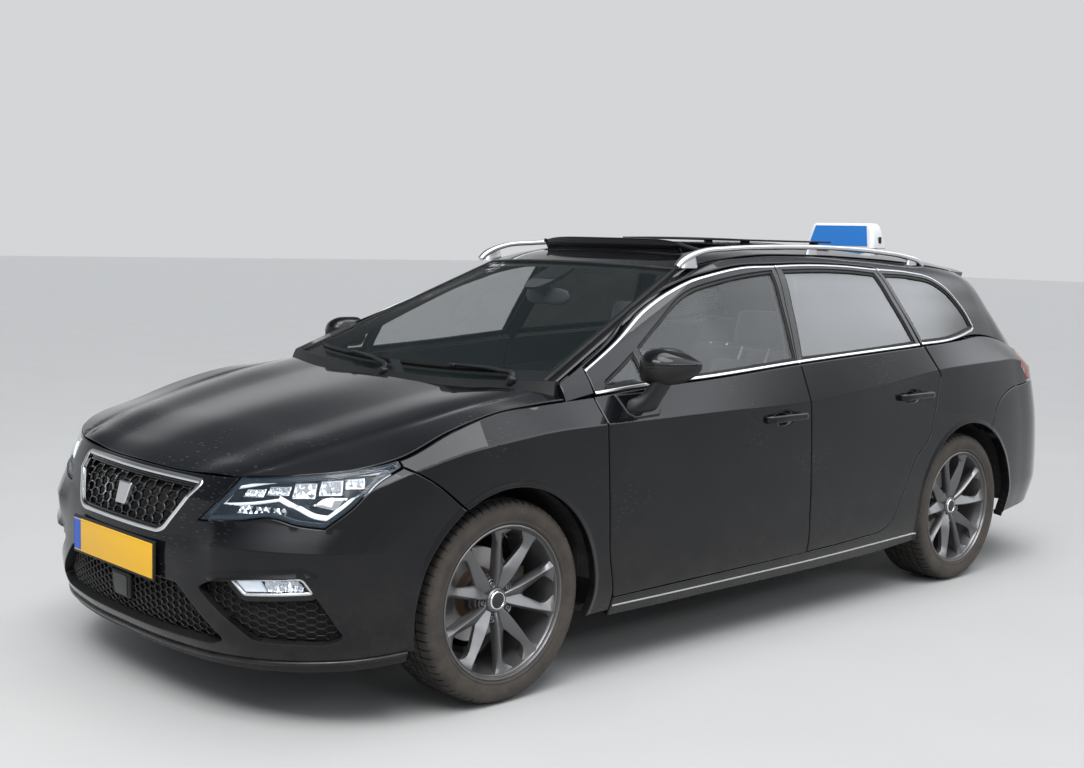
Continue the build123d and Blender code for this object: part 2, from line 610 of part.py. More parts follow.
roof_panel = (roof_slab & roof_zone) - sunroof_hole - screen_zone

# Sliding roof pane on its guides, and the wind deflector in front of it
sunroof_pane = block(SLID_PANE_X, (-SLID_PANE_HALF_WIDTH, SLID_PANE_HALF_WIDTH), SLID_PANE_Z)
for x in (SLID_PANE_X[0] + 40, SLID_PANE_X[1] - 40):
    for y in (-300, 300):
        sunroof_pane += block((x - 15, x + 15), (y - 12, y + 12), (1400, SLID_PANE_Z[0]))
sunroof_pane -= roof_panel
deflector_ends = [(DEFLECTOR_X, y, DEFLECTOR_Z) for y in (-DEFLECTOR_Y, DEFLECTOR_Y)]
deflector = rod(*deflector_ends, 7)
for end in deflector_ends:
    deflector += rod(end, (DEFLECTOR_FOOT[0], end[1], DEFLECTOR_FOOT[1]), 5) + Pos(*end) * Sphere(7)

# Roof rails
rail = from_side(RAIL_LINE + [(x, z - RAIL_HEIGHT) for x, z in reversed(RAIL_LINE)], 0, *RAIL_Y)
for x, top_z in RAIL_FEET.items():
    rail += block((x - 35, x + 35), (RAIL_Y[0] + 2, RAIL_Y[1] - 2), (1325, top_z))
rail_pieces = (rail - roof_panel - side_frame).solids()
roof_rails = both_sides(Part() + max(rail_pieces, key=lambda solid: solid.volume))

# Taxi sign: a tapered housing on a foot plate
sign_levels = []
for (depth, width), z in ((SIGN_BASE, SIGN_Z[0]), (SIGN_TOP, SIGN_Z[1])):
    sign_corners = [(-1, -1), (1, -1), (1, 1), (-1, 1)]
    level = [Vector(SIGN_X + along * depth / 2, side * width / 2, z) for along, side in sign_corners]
    sign_levels.append(Wire.make_polygon(level, close=True))
taxi_sign = Part() + Solid.make_loft(sign_levels, ruled=True)
taxi_sign = chamfer(taxi_sign.edges().filter_by(lambda edge: edge.length > 60), SIGN_EDGE)
foot_depth, foot_width, foot_z = SIGN_FOOT
foot_x = (SIGN_X - foot_depth / 2, SIGN_X + foot_depth / 2)
taxi_sign += block(foot_x, (-foot_width / 2, foot_width / 2), (foot_z, SIGN_Z[0] + 2))
taxi_sign -= roof_panel

# Number plates
plate_y = (-PLATE_HALF_WIDTH, PLATE_HALF_WIDTH)
front_plate = block((2262, 2274), plate_y, FRONT_PLATE_Z) - front_bumper
rear_plate = block((-2264, -2254), plate_y, REAR_PLATE_Z)
rear_plate += block((-2256, -2225), (-200, 200), (REAR_PLATE_Z[0] + 15, REAR_PLATE_Z[1] - 15))
rear_plate -= tail_shell
rear_plate = Part() + min(rear_plate.solids(), key=lambda solid: solid.center().X)


# Door mirrors
def mirror_plane(x):
    """Return the upright plane across the mirror's middle line at x."""
    return Plane(origin=(x, MIRROR_Y, MIRROR_Z), x_dir=(0, 1, 0), z_dir=(1, 0, 0))


mirror_wires = []
for x, width, height, corner in MIRROR_SECTIONS:
    mirror_wires.append((mirror_plane(x) * RectangleRounded(width, height, corner)).wires()[0])
mirror_head = Part() + Solid.make_loft(mirror_wires, ruled=True)
mirror_pane = mirror_plane(MIRROR_SECTIONS[0][0]) * RectangleRounded(*MIRROR_GLASS)
mirror_head -= extrude(mirror_pane, amount=MIRROR_GLASS_DEPTH)
neck_levels = [
    Wire.make_polygon([Vector(x, y, z) for x, y in ((x0, y0), (x1, y0), (x1, y1), (x0, y1))], close=True)
    for (x0, x1), (y0, y1), z in MIRROR_NECK
]
mirror_neck = (Part() + Solid.make_loft(neck_levels, ruled=True)) - front_door - front_door_glass
door_mirror = mirror_head + (Part() + max(mirror_neck.solids(), key=lambda solid: solid.volume))


# Wheels
def ring(profile):
    """Return a ring about the Y axis, from radius, y points."""
    face = Plane.XY * Polygon(*profile, align=None)
    return revolve(face, Axis.Y)


def tyre():
    """Return a tyre about the Y axis, centred on its tread."""
    half_width = TYRE_WIDTH / 2
    outside = [(229, 96), (240, 96), (241, 106), (272, half_width), (304, 104), (TYRE_RADIUS, 72)]
    inside = [(296, 82), (229, 84)]
    far_side = outside + [(r, -y) for r, y in reversed(outside)]
    return ring(far_side + [(r, -y) for r, y in reversed(inside)] + inside)


def wheel():
    """Return a rim with its spokes, hub and brake disc, its outer face towards +Y."""
    barrel = ring([
        (229, -96), (238, -96), (238, -104), (222, -104), (212, -60), (212, 60), (218, 104), (238, 104),
        (238, 96), (229, 96), (229, 84), (220, 60), (220, -60), (229, -84),
    ])
    hub = ring([
        (AXLE_BORE, -20), (HUB_RADIUS, -20), (HUB_RADIUS, -6), (78, 40), (74, 66), (34, 74), (34, 60),
        (AXLE_BORE, 60),
    ])
    cap = across(33, 0, 0, 58, 70)
    disc = ring([(40, -60), (DISC_RADIUS, -60), (DISC_RADIUS, -36), (72, -36), (72, -18), (40, -18)])
    spoke_wires = []
    for radius, half_width, back_y, edge_y, ridge_y in SPOKE_SECTIONS:
        back_half = half_width * 0.7
        section = [
            (back_y, -back_half), (edge_y, -half_width), (ridge_y, 0), (edge_y, half_width), (back_y, back_half),
        ]
        spoke_wires.append(Wire.make_polygon([Vector(radius, y, z) for y, z in section], close=True))
    spoke = Part() + Solid.make_loft(spoke_wires, ruled=True)
    body = barrel + hub + cap + disc
    for pair in range(SPOKE_PAIRS):
        for side in (-1, 1):
            body += Rotation(0, pair * 360 / SPOKE_PAIRS + side * SPOKE_SPREAD, 0) * spoke
    return body


def placed_wheel(shape, x, y):
    """Return a wheel or tyre moved to its place on the left, or turned to face right."""
    turned = shape if y > 0 else Rotation(0, 0, 180) * shape
    return Pos(x, y, TYRE_RADIUS) * turned


# Front knuckles, with strut and brake caliper
def knuckle():
    """Return the left knuckle, which turns about the line from ball joint to strut top."""
    carrier = block((FRONT_AXLE_X - 45, FRONT_AXLE_X + 45), (606, 666), (232, 420))
    carrier += rod((FRONT_AXLE_X, 640, TYRE_RADIUS), (FRONT_AXLE_X, 812, TYRE_RADIUS), AXLE_BORE - 5)
    carrier += rod(STRUT_FOOT, STRUT_HEAD, 27)
    carrier += rod(STEER_FOOT, (FRONT_AXLE_X, 640, 245), 11)
    carrier += rod((FRONT_AXLE_X, 632, 300), (FRONT_AXLE_X - 120, 622, 290), 12)
    caliper = block((FRONT_AXLE_X - 178, FRONT_AXLE_X - 78), (680, 756), (TYRE_RADIUS - 40, TYRE_RADIUS + 70))
    caliper -= across(DISC_RADIUS + 6, FRONT_AXLE_X, TYRE_RADIUS, 700, 736)
    caliper += block((FRONT_AXLE_X - 120, FRONT_AXLE_X - 30), (640, 688), (TYRE_RADIUS - 15, TYRE_RADIUS + 25))
    return carrier + caliper


def rear_carrier():
    """Return the left rear carrier, with its stub axle and caliper."""
    carrier = block((REAR_AXLE_X - 45, REAR_AXLE_X + 45), (595, 655), (240, 400))
    carrier += rod((REAR_AXLE_X, 640, TYRE_RADIUS), (REAR_AXLE_X, 801, TYRE_RADIUS), AXLE_BORE - 5)
    caliper = block((REAR_AXLE_X + 78, REAR_AXLE_X + 178), (668, 745), (TYRE_RADIUS - 40, TYRE_RADIUS + 50))
    caliper -= across(DISC_RADIUS + 6, REAR_AXLE_X, TYRE_RADIUS, 689, 725)
    caliper += block((REAR_AXLE_X + 30, REAR_AXLE_X + 120), (629, 671), (TYRE_RADIUS - 20, TYRE_RADIUS + 20))
    arm = rod((REAR_AXLE_X + 20, 610, 270), (REAR_AXLE_X + 420, 560, 250), 22)
    spring = Pos(REAR_AXLE_X + 60, 415, 350) * Cylinder(48, 160)
    return carrier + caliper + arm + spring


left_knuckle = knuckle()
rear_axle = both_sides(rear_carrier()) + rod((REAR_AXLE_X + 60, -620, 270), (REAR_AXLE_X + 60, 620, 270), 32)
drive_shaft = rod((FRONT_AXLE_X, 335, TYRE_RADIUS), (FRONT_AXLE_X, 590, TYRE_RADIUS), 15)
front_subframe = both_sides(from_above(FRONT_ARM, 0, *FRONT_ARM_Z) + block(*ARM_BEARING) + drive_shaft)
for ranges in CROSS_MEMBER:
    front_subframe += block(*ranges)


def arch_liner(radius, axle_x, lowest_z):
    """Return the lining of a left wheel arch, open below."""
    shell = across(radius + 14, axle_x, TYRE_RADIUS, 474, 832) - across(radius + 8, axle_x, TYRE_RADIUS, 480, 840)
    return shell & block((axle_x - 600, axle_x + 600), (300, 900), (lowest_z, 900))


strut_hole = rod(STRUT_FOOT, (FRONT_AXLE_X, 583, 870), 60)
front_liner = arch_liner(FRONT_ARCH_RADIUS, FRONT_AXLE_X, 336) - strut_hole
front_liner -= block((1200, 1640), (400, 900), (300, 420))
rear_liner = arch_liner(REAR_ARCH_RADIUS, REAR_AXLE_X, 312)
front_liner -= front_wing + bumper_half + front_door + headlamp
rear_liner -= side_frame + rear_bumper + rear_door + (side_wall & rear_door_space)
liner_pieces = [liner.solids().sort_by(SortBy.VOLUME)[-1] for liner in (front_liner, rear_liner)]
arch_liners = both_sides(Part() + liner_pieces)

# Floor, bulkhead and engine
floor_pan = Part()
for ranges in FLOOR_BLOCKS:
    floor_pan += block(*ranges)
floor_pan -= both_sides(across(REAR_ARCH_RADIUS + 14, REAR_AXLE_X, TYRE_RADIUS, 474, 900))
floor_pan -= both_sides(across(FRONT_ARCH_RADIUS + 14, FRONT_AXLE_X, TYRE_RADIUS, 474, 900))
engine = block(*ENGINE_BLOCK)

# Exhaust
exhaust = block(*SILENCER)
for pipe in EXHAUST_PIPES:
    exhaust += rod(*pipe)


# Seats
def seat(width):
    """Return a front seat facing forward, standing on its rails at the origin."""
    cushion = Pos(40, 0, 160) * Box(500, width, 130)
    backrest = Pos(-235, 0, 440) * Rotation(0, -20, 0) * Box(115, width - 20, 640)
    headrest = Pos(-375, 0, 850) * Rotation(0, -14, 0) * Box(85, 250, 165)
    shape = fillet(cushion.edges(), 35) + fillet(backrest.edges(), 35)
    shape += fillet(headrest.edges(), 30)
    shape += rod((-335, 70, 720), (-370, 70, 800), 7) + rod((-335, -70, 720), (-370, -70, 800), 7)
    return shape + block((-180, 240), (-200, -170), (0, 110)) + block((-180, 240), (170, 200), (0, 110))


front_seats = both_sides(Pos(-60, SEAT_Y, 226) * seat(500))
rear_cushion = fillet((Pos(-690, 0, 400) * Box(470, 1240, 150)).edges(), 40)
rear_back = fillet((Pos(-960, 0, 700) * Rotation(0, -18, 0) * Box(120, 1180, 560)).edges(), 40)
rear_seat = rear_cushion + rear_back
for y in (-370, 0, 370):
    rear_seat += fillet((Pos(-1070, y, 1010) * Rotation(0, -12, 0) * Box(80, 230, 130)).edges(), 28)
    for stalk_y in (y - 50, y + 50):
        rear_seat += rod((-1045, stalk_y, 930), (-1062, stalk_y, 970), 7)
rear_seat -= both_sides(across(REAR_ARCH_RADIUS + 20, REAR_AXLE_X, TYRE_RADIUS, 468, 900))
rear_seat -= floor_pan

# Dashboard, console, steering wheel
dashboard = from_side(DASH_PROFILE, 0, -DASH_HALF_WIDTH, DASH_HALF_WIDTH)
for ranges in CONSOLE_BLOCKS:
    dashboard += block(*ranges)
tilt = math.radians(STEERING_TILT)
wheel_face = Vector(-math.cos(tilt), 0, math.sin(tilt))
wheel_plane = Plane(origin=STEERING_WHEEL_CENTRE, x_dir=(0, 1, 0), z_dir=wheel_face)
column_hole = extrude(wheel_plane * Circle(24), amount=-330)
column_tube = extrude(wheel_plane.offset(-75) * Circle(42), amount=-190)
dashboard = dashboard + column_tube - column_hole
steering_wheel = wheel_plane * Torus(STEERING_WHEEL_RADIUS, 15)
steering_wheel += extrude(wheel_plane.offset(-45) * Circle(62), amount=50)
for turn in (0, 90, 180):
    spoke_plan = Rectangle(STEERING_WHEEL_RADIUS, 34, align=(Align.MIN, Align.CENTER))
    spoke = extrude(Plane.XY.offset(-16) * spoke_plan, amount=20)
    steering_wheel += wheel_plane * (Rotation(0, 0, turn) * spoke)
steering_wheel += extrude(wheel_plane.offset(-40) * Circle(18), amount=-240)

pieces = {
    "front_bumper": front_bumper,
    "grilles": upper_grille + lower_grilles,
    "front_wings": both_sides(front_wing),
    "headlamps": both_sides(headlamp),
    "fog_lamps": fog_lamps,
    "bonnet": bonnet,
    "windscreen": windscreen,
    "scuttle": scuttle,
    "wipers": wipers,
    "roof_panel": roof_panel,
    "sunroof_pane": sunroof_pane,
    "wind_deflector": deflector,
    "roof_rails": roof_rails,
    "taxi_sign": taxi_sign,
    "front_plate": front_plate,
    "rear_plate": rear_plate,
    "tailgate": tailgate,
    "tailgate_glass": tailgate_glass,
    "tailgate_lamps": tailgate_lamps,
    "rear_lamps": both_sides(rear_lamp),
    "rear_bumper": rear_bumper,
    "quarter_glass": both_sides(quarter_glass),
    "floor_pan": floor_pan,
    "arch_liners": arch_liners,
    "engine": engine,
    "front_subframe": front_subframe,
    "rear_axle": rear_axle,
    "exhaust": exhaust,
    "front_seats": front_seats,
    "rear_seat": rear_seat,
    "dashboard": dashboard,
    "steering_wheel": steering_wheel,
}
sided = {
    "side_frame": side_frame,
    "front_door": front_door,
    "front_door_glass": front_door_glass,
    "rear_door": rear_door,
    "rear_door_glass": rear_door_glass,
    "door_mirror": door_mirror,
    "knuckle": left_knuckle,
}
for name, shape in sided.items():
    pieces[name + "_left"] = shape
    pieces[name + "_right"] = mirrored(shape)
corners = {
    "front_left": (FRONT_AXLE_X, FRONT_WHEEL_Y),
    "front_right": (FRONT_AXLE_X, -FRONT_WHEEL_Y),
    "rear_left": (REAR_AXLE_X, REAR_WHEEL_Y),
    "rear_right": (REAR_AXLE_X, -REAR_WHEEL_Y),
}
one_wheel, one_tyre = wheel(), tyre()
for name, (x, y) in corners.items():
    pieces["wheel_" + name] = placed_wheel(one_wheel, x, y)
    pieces["tyre_" + name] = placed_wheel(one_tyre, x, y)

os.makedirs("parts", exist_ok=True)
for name, shape in pieces.items():
    export_step(shape, f"parts/{name}.step")
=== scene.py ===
import json
import math

import bmesh
import bpy
import numpy as np
from mathutils import Matrix, Vector
from mathutils.geometry import delaunay_2d_cdt

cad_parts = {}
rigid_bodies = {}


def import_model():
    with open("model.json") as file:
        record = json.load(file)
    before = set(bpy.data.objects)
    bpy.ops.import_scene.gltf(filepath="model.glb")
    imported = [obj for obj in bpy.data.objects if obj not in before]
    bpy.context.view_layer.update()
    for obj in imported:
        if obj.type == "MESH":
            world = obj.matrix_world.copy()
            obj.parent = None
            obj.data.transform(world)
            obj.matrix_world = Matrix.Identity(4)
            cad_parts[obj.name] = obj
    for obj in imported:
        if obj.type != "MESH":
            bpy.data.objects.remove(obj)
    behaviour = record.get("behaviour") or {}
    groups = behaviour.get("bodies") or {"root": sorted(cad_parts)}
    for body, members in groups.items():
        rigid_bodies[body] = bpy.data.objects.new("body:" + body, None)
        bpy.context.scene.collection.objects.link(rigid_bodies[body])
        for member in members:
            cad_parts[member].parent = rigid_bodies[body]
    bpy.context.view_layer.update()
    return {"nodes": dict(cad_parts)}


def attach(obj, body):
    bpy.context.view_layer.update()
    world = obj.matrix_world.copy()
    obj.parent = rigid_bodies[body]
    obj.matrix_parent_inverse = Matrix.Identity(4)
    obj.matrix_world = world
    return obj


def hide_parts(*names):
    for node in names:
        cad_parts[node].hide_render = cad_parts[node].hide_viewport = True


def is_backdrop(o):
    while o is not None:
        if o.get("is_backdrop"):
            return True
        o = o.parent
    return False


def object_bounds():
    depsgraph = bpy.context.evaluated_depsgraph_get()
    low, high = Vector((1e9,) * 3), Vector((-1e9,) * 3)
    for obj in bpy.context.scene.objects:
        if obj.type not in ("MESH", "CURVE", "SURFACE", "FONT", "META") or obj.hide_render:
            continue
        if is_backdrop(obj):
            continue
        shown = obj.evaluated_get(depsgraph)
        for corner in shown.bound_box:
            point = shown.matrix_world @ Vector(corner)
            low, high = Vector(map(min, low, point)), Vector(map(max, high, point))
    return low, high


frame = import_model()
print("frame loaded")

mm = 0.001  # lengths below are millimetres, as in the part's source
sides = {"left": 1, "right": -1}
wheelPlaces = {
    "front_left": (1416, 766), "front_right": (1416, -766),
    "rear_left": (-1220, 755), "rear_right": (-1220, -755),
}
axleHeight = 318


class Value:  # one socket of a node tree, with plain arithmetic
    def __init__(self, tree, socket):
        self.tree = tree
        self.socket = socket

    def __add__(self, other):
        return self.tree.calc("ADD", self, other)

    def __sub__(self, other):
        return self.tree.calc("SUBTRACT", self, other)

    def __mul__(self, other):
        return self.tree.calc("MULTIPLY", self, other)

    def __truediv__(self, other):
        return self.tree.calc("DIVIDE", self, other)

    def __rsub__(self, other):
        return self.tree.calc("SUBTRACT", other, self)

    __radd__ = __add__
    __rmul__ = __mul__

    def out(self, name):
        return Value(self.tree, self.socket.node.outputs[name])


class Tree:  # a node tree being built
    def __init__(self, tree):
        self.nodes, self.links = tree.nodes, tree.links

    def put(self, socket, value):
        if isinstance(value, Value):
            self.links.new(value.socket, socket)
        elif isinstance(value, tuple) and len(value) == 3 and socket.type == "RGBA":
            socket.default_value = (*value, 1)
        else:
            socket.default_value = value

    def node(self, kind, settings=None, **sockets):
        made = self.nodes.new(kind)
        for name, value in (settings or {}).items():
            setattr(made, name, value)
        for name, value in sockets.items():
            self.put(made.inputs[name.replace("_", " ")], value)
        return Value(self, made.outputs[0]) if made.outputs else None

    def numbered(self, kind, settings, values, output=0):  # a node whose sockets share their names
        made = self.nodes.new(kind)
        for name, value in settings.items():
            setattr(made, name, value)
        for index, value in values.items():
            self.put(made.inputs[index], value)
        return Value(self, made.outputs[output])

    def calc(self, operation, first, second=0.0):
        return self.numbered("ShaderNodeMath", {"operation": operation}, {0: first, 1: second})

    def mix(self, factor, first, second):
        return self.numbered("ShaderNodeMix", {"data_type": "RGBA"}, {0: factor, 6: first, 7: second}, 2)

    def between(self, value, low, high):  # a smooth step from 0 to 1
        return self.node("ShaderNodeMapRange", {"interpolation_type": "SMOOTHSTEP"}, Value=value,
                         From_Min=low, From_Max=high)


class Finish(Tree):  # a material being made
    def __init__(self, name, **fixed):
        self.material = bpy.data.materials.new(name)
        self.material.use_nodes = True
        super().__init__(self.material.node_tree)
        self.nodes.clear()
        self.shader = self.node("ShaderNodeBsdfPrincipled", **fixed)
        self.node("ShaderNodeOutputMaterial", Surface=self.shader)
        self.object = self.node("ShaderNodeTexCoord").out("Object")

    def set(self, **sockets):  # gives the main shader's sockets values or links
        for name, value in sockets.items():
            self.put(self.shader.socket.node.inputs[name.replace("_", " ")], value)
        return self

    def axis(self, name):  # an object coordinate in metres
        return self.node("ShaderNodeSeparateXYZ", Vector=self.object).out(name)

    def stretched(self, stretch):
        return self.node("ShaderNodeMapping", Vector=self.object, Scale=stretch) if stretch else self.object

    def noise(self, scale, detail=4.0, rough=0.55, stretch=None):
        return self.node("ShaderNodeTexNoise", Vector=self.stretched(stretch), Scale=scale, Detail=detail,
                         Roughness=rough)

    def cells(self, scale, stretch=None):  # the distance to the nearest of many scattered points
        return self.node("ShaderNodeTexVoronoi", Vector=self.stretched(stretch), Scale=scale)

    def bump(self, height, strength=0.3, distance=0.001, under=None):
        made = self.node("ShaderNodeBump", Height=height, Strength=strength, Distance=distance)
        if under:
            self.put(made.socket.node.inputs["Normal"], under)
        return made


def paintFinish(name, colour, dust=0.35):  # clear-coated paint with orange peel, dust low down and fine swirls
    it = Finish(name, Coat_Weight=0.85, Coat_Roughness=0.02, Coat_IOR=1.38, Specular_IOR_Level=0.03, IOR=1.5)
    height = it.axis("Z")
    cloudy = it.noise(2.6, 6, 0.62)
    specks = it.between(it.cells(260), 0.16, 0.1)
    low = it.between(height, 0.62, 0.16)
    dirt = (it.between(cloudy, 0.42, 0.8) * 0.3 + low * it.between(it.noise(9, 8, 0.7), 0.3, 0.75)) * dust
    dirt = dirt + specks * it.between(it.noise(4.5), 0.5, 0.75) * (0.04 + low * 0.25) * dust
    scratches = it.between(it.cells(26, (1, 1, 6)), 0.24, 0.12) * it.between(it.noise(2.3, 3), 0.52, 0.64)
    dirt = dirt + scratches * dust * 2.2
    colourDust = tuple(0.5 * part + 0.5 * grey for part, grey in zip(colour, (0.16, 0.145, 0.125)))
    it.set(Base_Color=it.mix(dirt, colour, colourDust))
    it.set(Roughness=0.2 + dirt * 0.5 + it.noise(60) * 0.04)
    it.set(Normal=it.bump(it.noise(420, 2, 0.5), 0.035, 0.0004))
    return it.material


def plasticFinish(name, colour, rough=0.5, grain=900, bump=0.25, dust=0.25):
    it = Finish(name, Specular_IOR_Level=0.3)
    grey = tuple(0.55 * part + 0.45 * extra for part, extra in zip(colour, (0.2, 0.185, 0.16)))
    dirt = it.between(it.noise(7, 7, 0.68), 0.42, 0.85) * dust
    it.set(Base_Color=it.mix(dirt, colour, grey), Roughness=rough + dirt * 0.3)
    it.set(Normal=it.bump(it.cells(grain), bump, 0.0006))
    return it.material


def metalFinish(name, colour, rough, wear, brushed=None, metallic=1.0):
    it = Finish(name, Metallic=metallic)
    streaks = it.noise(90, 5, 0.6, brushed)
    stain = it.between(it.noise(6, 7, 0.65), 0.45, 0.8) * wear
    darker = tuple(part * 0.45 for part in colour)
    it.set(Base_Color=it.mix(stain, colour, darker), Roughness=rough + streaks * 0.08 + stain * 0.35)
    it.set(Normal=it.bump(streaks, 0.06, 0.0004))
    return it.material


def glassFinish(name, colour, clear, rough=0.02, strength=1.75):
    it = Finish(name, IOR=strength, Coat_Weight=0.6, Coat_Roughness=0.01)
    smear = it.between(it.noise(5, 8, 0.7), 0.5, 0.9)
    dots = it.between(it.cells(180), 0.11, 0.06) * it.between(it.noise(3), 0.5, 0.7)
    it.set(Base_Color=it.mix(smear * 0.12 + dots * 0.3, colour, (0.32, 0.31, 0.29)))
    it.set(Alpha=clear + smear * 0.05 + dots * 0.2, Roughness=rough + smear * 0.05)
    it.material.surface_render_method = "DITHERED"
    return it.material


def fabricFinish(name, colour, second, weave=900, sheen=0.25):
    it = Finish(name, Sheen_Weight=sheen, Sheen_Roughness=0.5, Specular_IOR_Level=0.2)
    wave = {"wave_type": "BANDS", "bands_direction": "X"}
    warp = it.node("ShaderNodeTexWave", wave, Vector=it.object, Scale=weave, Distortion=0.6, Detail=1.0)
    weft = it.node("ShaderNodeTexWave", dict(wave, bands_direction="DIAGONAL"), Vector=it.object, Scale=weave * 0.8,
                   Distortion=0.5, Detail=1.0)
    threads = warp * 0.5 + weft * 0.5
    worn = it.between(it.noise(8, 6, 0.6), 0.35, 0.8)
    it.set(Base_Color=it.mix(threads * 0.55 + worn * 0.3, colour, second), Roughness=0.82 + threads * 0.1)
    it.set(Normal=it.bump(threads, 0.5, 0.0008, it.bump(it.noise(24), 0.2, 0.004)))
    return it.material


paint = paintFinish("blackPaint", (0.0035, 0.0038, 0.005), 0.2)
glossBlack = paintFinish("glossBlackPlastic", (0.004, 0.004, 0.005), 0.12)
trimBlack = plasticFinish("blackTrim", (0.008, 0.008, 0.0085), 0.48, dust=0.07)
rubberSeal = plasticFinish("sealRubber", (0.008, 0.008, 0.008), 0.7, 400, 0.15)
liningBlack = plasticFinish("archLiningFelt", (0.012, 0.012, 0.012), 0.85, 260, 0.6, 0.6)
chrome = metalFinish("chrome", (0.82, 0.83, 0.84), 0.07, 0.06)
satinSilver = metalFinish("satinAluminium", (0.66, 0.67, 0.68), 0.26, 0.12, (6, 60, 60))
darkSteel = metalFinish("darkChassisSteel", (0.07, 0.066, 0.06), 0.55, 0.5, metallic=0.6)
screenGlass = glassFinish("screenGlass", (0.03, 0.045, 0.045), 0.13, strength=1.6)
sideGlass = glassFinish("sideGlass", (0.012, 0.018, 0.018), 0.26)
darkGlass = glassFinish("darkGlass", (0.006, 0.008, 0.009), 0.8)
lampGlass = glassFinish("lampGlass", (0.1, 0.13, 0.16), 0.1, 0.01, 1.5)
cabinPlastic = plasticFinish("cabinPlastic", (0.05, 0.053, 0.06), 0.6, 700, 0.3, 0.1)
seatCloth = fabricFinish("seatCloth", (0.05, 0.054, 0.064), (0.13, 0.138, 0.155))
print("materials made")


def added(name, data):  # a new object in the scene
    made = bpy.data.objects.new(name, data)
    bpy.context.scene.collection.objects.link(made)
    return made


def newObject(name, verts, faces, materials, marks=None, smooth=True, normals=None):
    mesh = bpy.data.meshes.new(name)
    mesh.from_pydata([tuple(point) for point in np.asarray(verts) * mm], [], [tuple(face) for face in faces])
    for material in materials:
        mesh.materials.append(material)
    if marks is not None:
        mesh.polygons.foreach_set("material_index", np.asarray(marks, np.int32))
    mesh.polygons.foreach_set("use_smooth", np.full(len(faces), smooth) if isinstance(smooth, bool) else smooth)
    if normals is not None:
        mesh.normals_split_custom_set([tuple(n) for n in normals])
    return added(name, mesh)


def unit(vectors):
    return vectors / np.linalg.norm(vectors, axis=-1, keepdims=True)


def slopes(keys, values):  # slopes at the keys of a smooth line through the values
    step = np.diff(keys).reshape((-1,) + (1,) * (values.ndim - 1))
    chord = np.diff(values, axis=0) / step
    found = np.empty_like(values)
    found[0], found[-1] = chord[0], chord[-1]
    found[1:-1] = (chord[:-1] * step[1:] + chord[1:] * step[:-1]) / (step[:-1] + step[1:])
    return found


def curveAt(f, span, first, last, leave, arrive):
    back = 1 - f
    return ((1 + 2 * f) * back * back * first + f * f * (3 - 2 * f) * last
            + span * (f * back * back * leave - f * f * back * arrive))


class Skin:  # a smooth sheet through rows of points. u runs from row to row, v is a height or a width
    def __init__(self, keys, grid, knots, breaks, across, half=0.0, loop=False):
        self.keys, self.across, self.half, self.loop = np.asarray(keys, float), across, half, loop
        grid = np.asarray(grid, float)
        self.columns = grid.shape[1]
        leave, arrive = np.zeros_like(grid[:, 1:]), np.zeros_like(grid[:, 1:])
        knots = np.asarray(knots, float)
        for low, high in zip([0] + breaks, breaks + [self.columns - 1]):
            part = np.moveaxis(slopes(knots[low:high + 1], np.moveaxis(grid[:, low:high + 1], 1, 0)), 0, 1)
            leave[:, low:high], arrive[:, low:high] = part[:, :-1], part[:, 1:]
        self.knots = knots
        self.values = np.concatenate([grid, leave, arrive], axis=1)
        self.slopes = slopes(self.keys, self.values)
        self.reliefs = []

    def rowsAt(self, u):
        if self.loop:
            u = (u + self.half) % (2 * self.half) - self.half
        index = np.clip(np.searchsorted(self.keys, u, side="right") - 1, 0, len(self.keys) - 2)
        span = self.keys[index + 1] - self.keys[index]
        f = ((u - self.keys[index]) / span)[:, None, None]
        return curveAt(f, span[:, None, None], self.values[index], self.values[index + 1], self.slopes[index],
                       self.slopes[index + 1])

    def base(self, u, v):
        row = self.rowsAt(u)
        count = self.columns
        marks = row[:, :count, self.across]
        k = np.clip((marks <= v[:, None]).sum(1) - 1, 0, count - 2)
        n = np.arange(len(u))
        first, last = row[n, k], row[n, k + 1]
        leave, arrive = row[n, count + k], row[n, 2 * count - 1 + k]
        span = (self.knots[k + 1] - self.knots[k])[:, None]
        axis = self.across
        f = ((v - first[:, axis]) / (last[:, axis] - first[:, axis]))[:, None]
        for _ in range(4):
            here = curveAt(f, span, first, last, leave, arrive)[:, axis]
            near = curveAt(f + 0.001, span, first, last, leave, arrive)[:, axis]
            f = f - ((here - v) / (near - here) * 0.001)[:, None]
        return curveAt(f, span, first, last, leave, arrive)

    def faced(self, u, v):  # points with outward directions
        p = self.base(u, v)
        return p, unit(np.cross(self.base(u + 0.5, v) - p, self.base(u, v + 0.5) - p))

    def at(self, u, v, recess=0.0):
        u, v = np.asarray(u, float), np.asarray(v, float)
        p, n = self.faced(u, v)
        folded = self.half - np.abs(self.half - (u % (2 * self.half))) if self.half else u
        lift = sum((relief(folded, v, p) for relief in self.reliefs), np.zeros(len(u))) - recess
        return p + n * lift[:, None]

    def find(self, points, view="side"):  # x, z or y, z or x, y, z points as u, v
        reach = 1000  # how far round the car a view from the front or rear looks
        low = max(0.0, self.half - reach) if view == "rear" else 0.0
        high = min(self.half, reach) if view == "front" else self.half
        found = []
        for point in points:
            full = len(point) == 3
            v = point[-1]
            start, end = low, high
            for count in (60, 14, 14):
                u = np.linspace(start, end, count)
                p = self.base(u, np.full(count, float(v)))
                if full:
                    gap = np.hypot(p[:, 0] - point[0], p[:, 1] - abs(point[1]))
                else:
                    gap = np.abs(p[:, 0] - point[0]) if view == "side" else np.abs(p[:, 1] - abs(point[0]))
                best, step = u[gap.argmin()], u[1] - u[0]
                start, end = max(low, best - step), min(high, best + step)
            across = point[1] if full else (point[0] if view != "side" else 1)
            if across < 0:
                best = -best if view == "front" else 2 * self.half - best
            found.append((best, v))
        return found


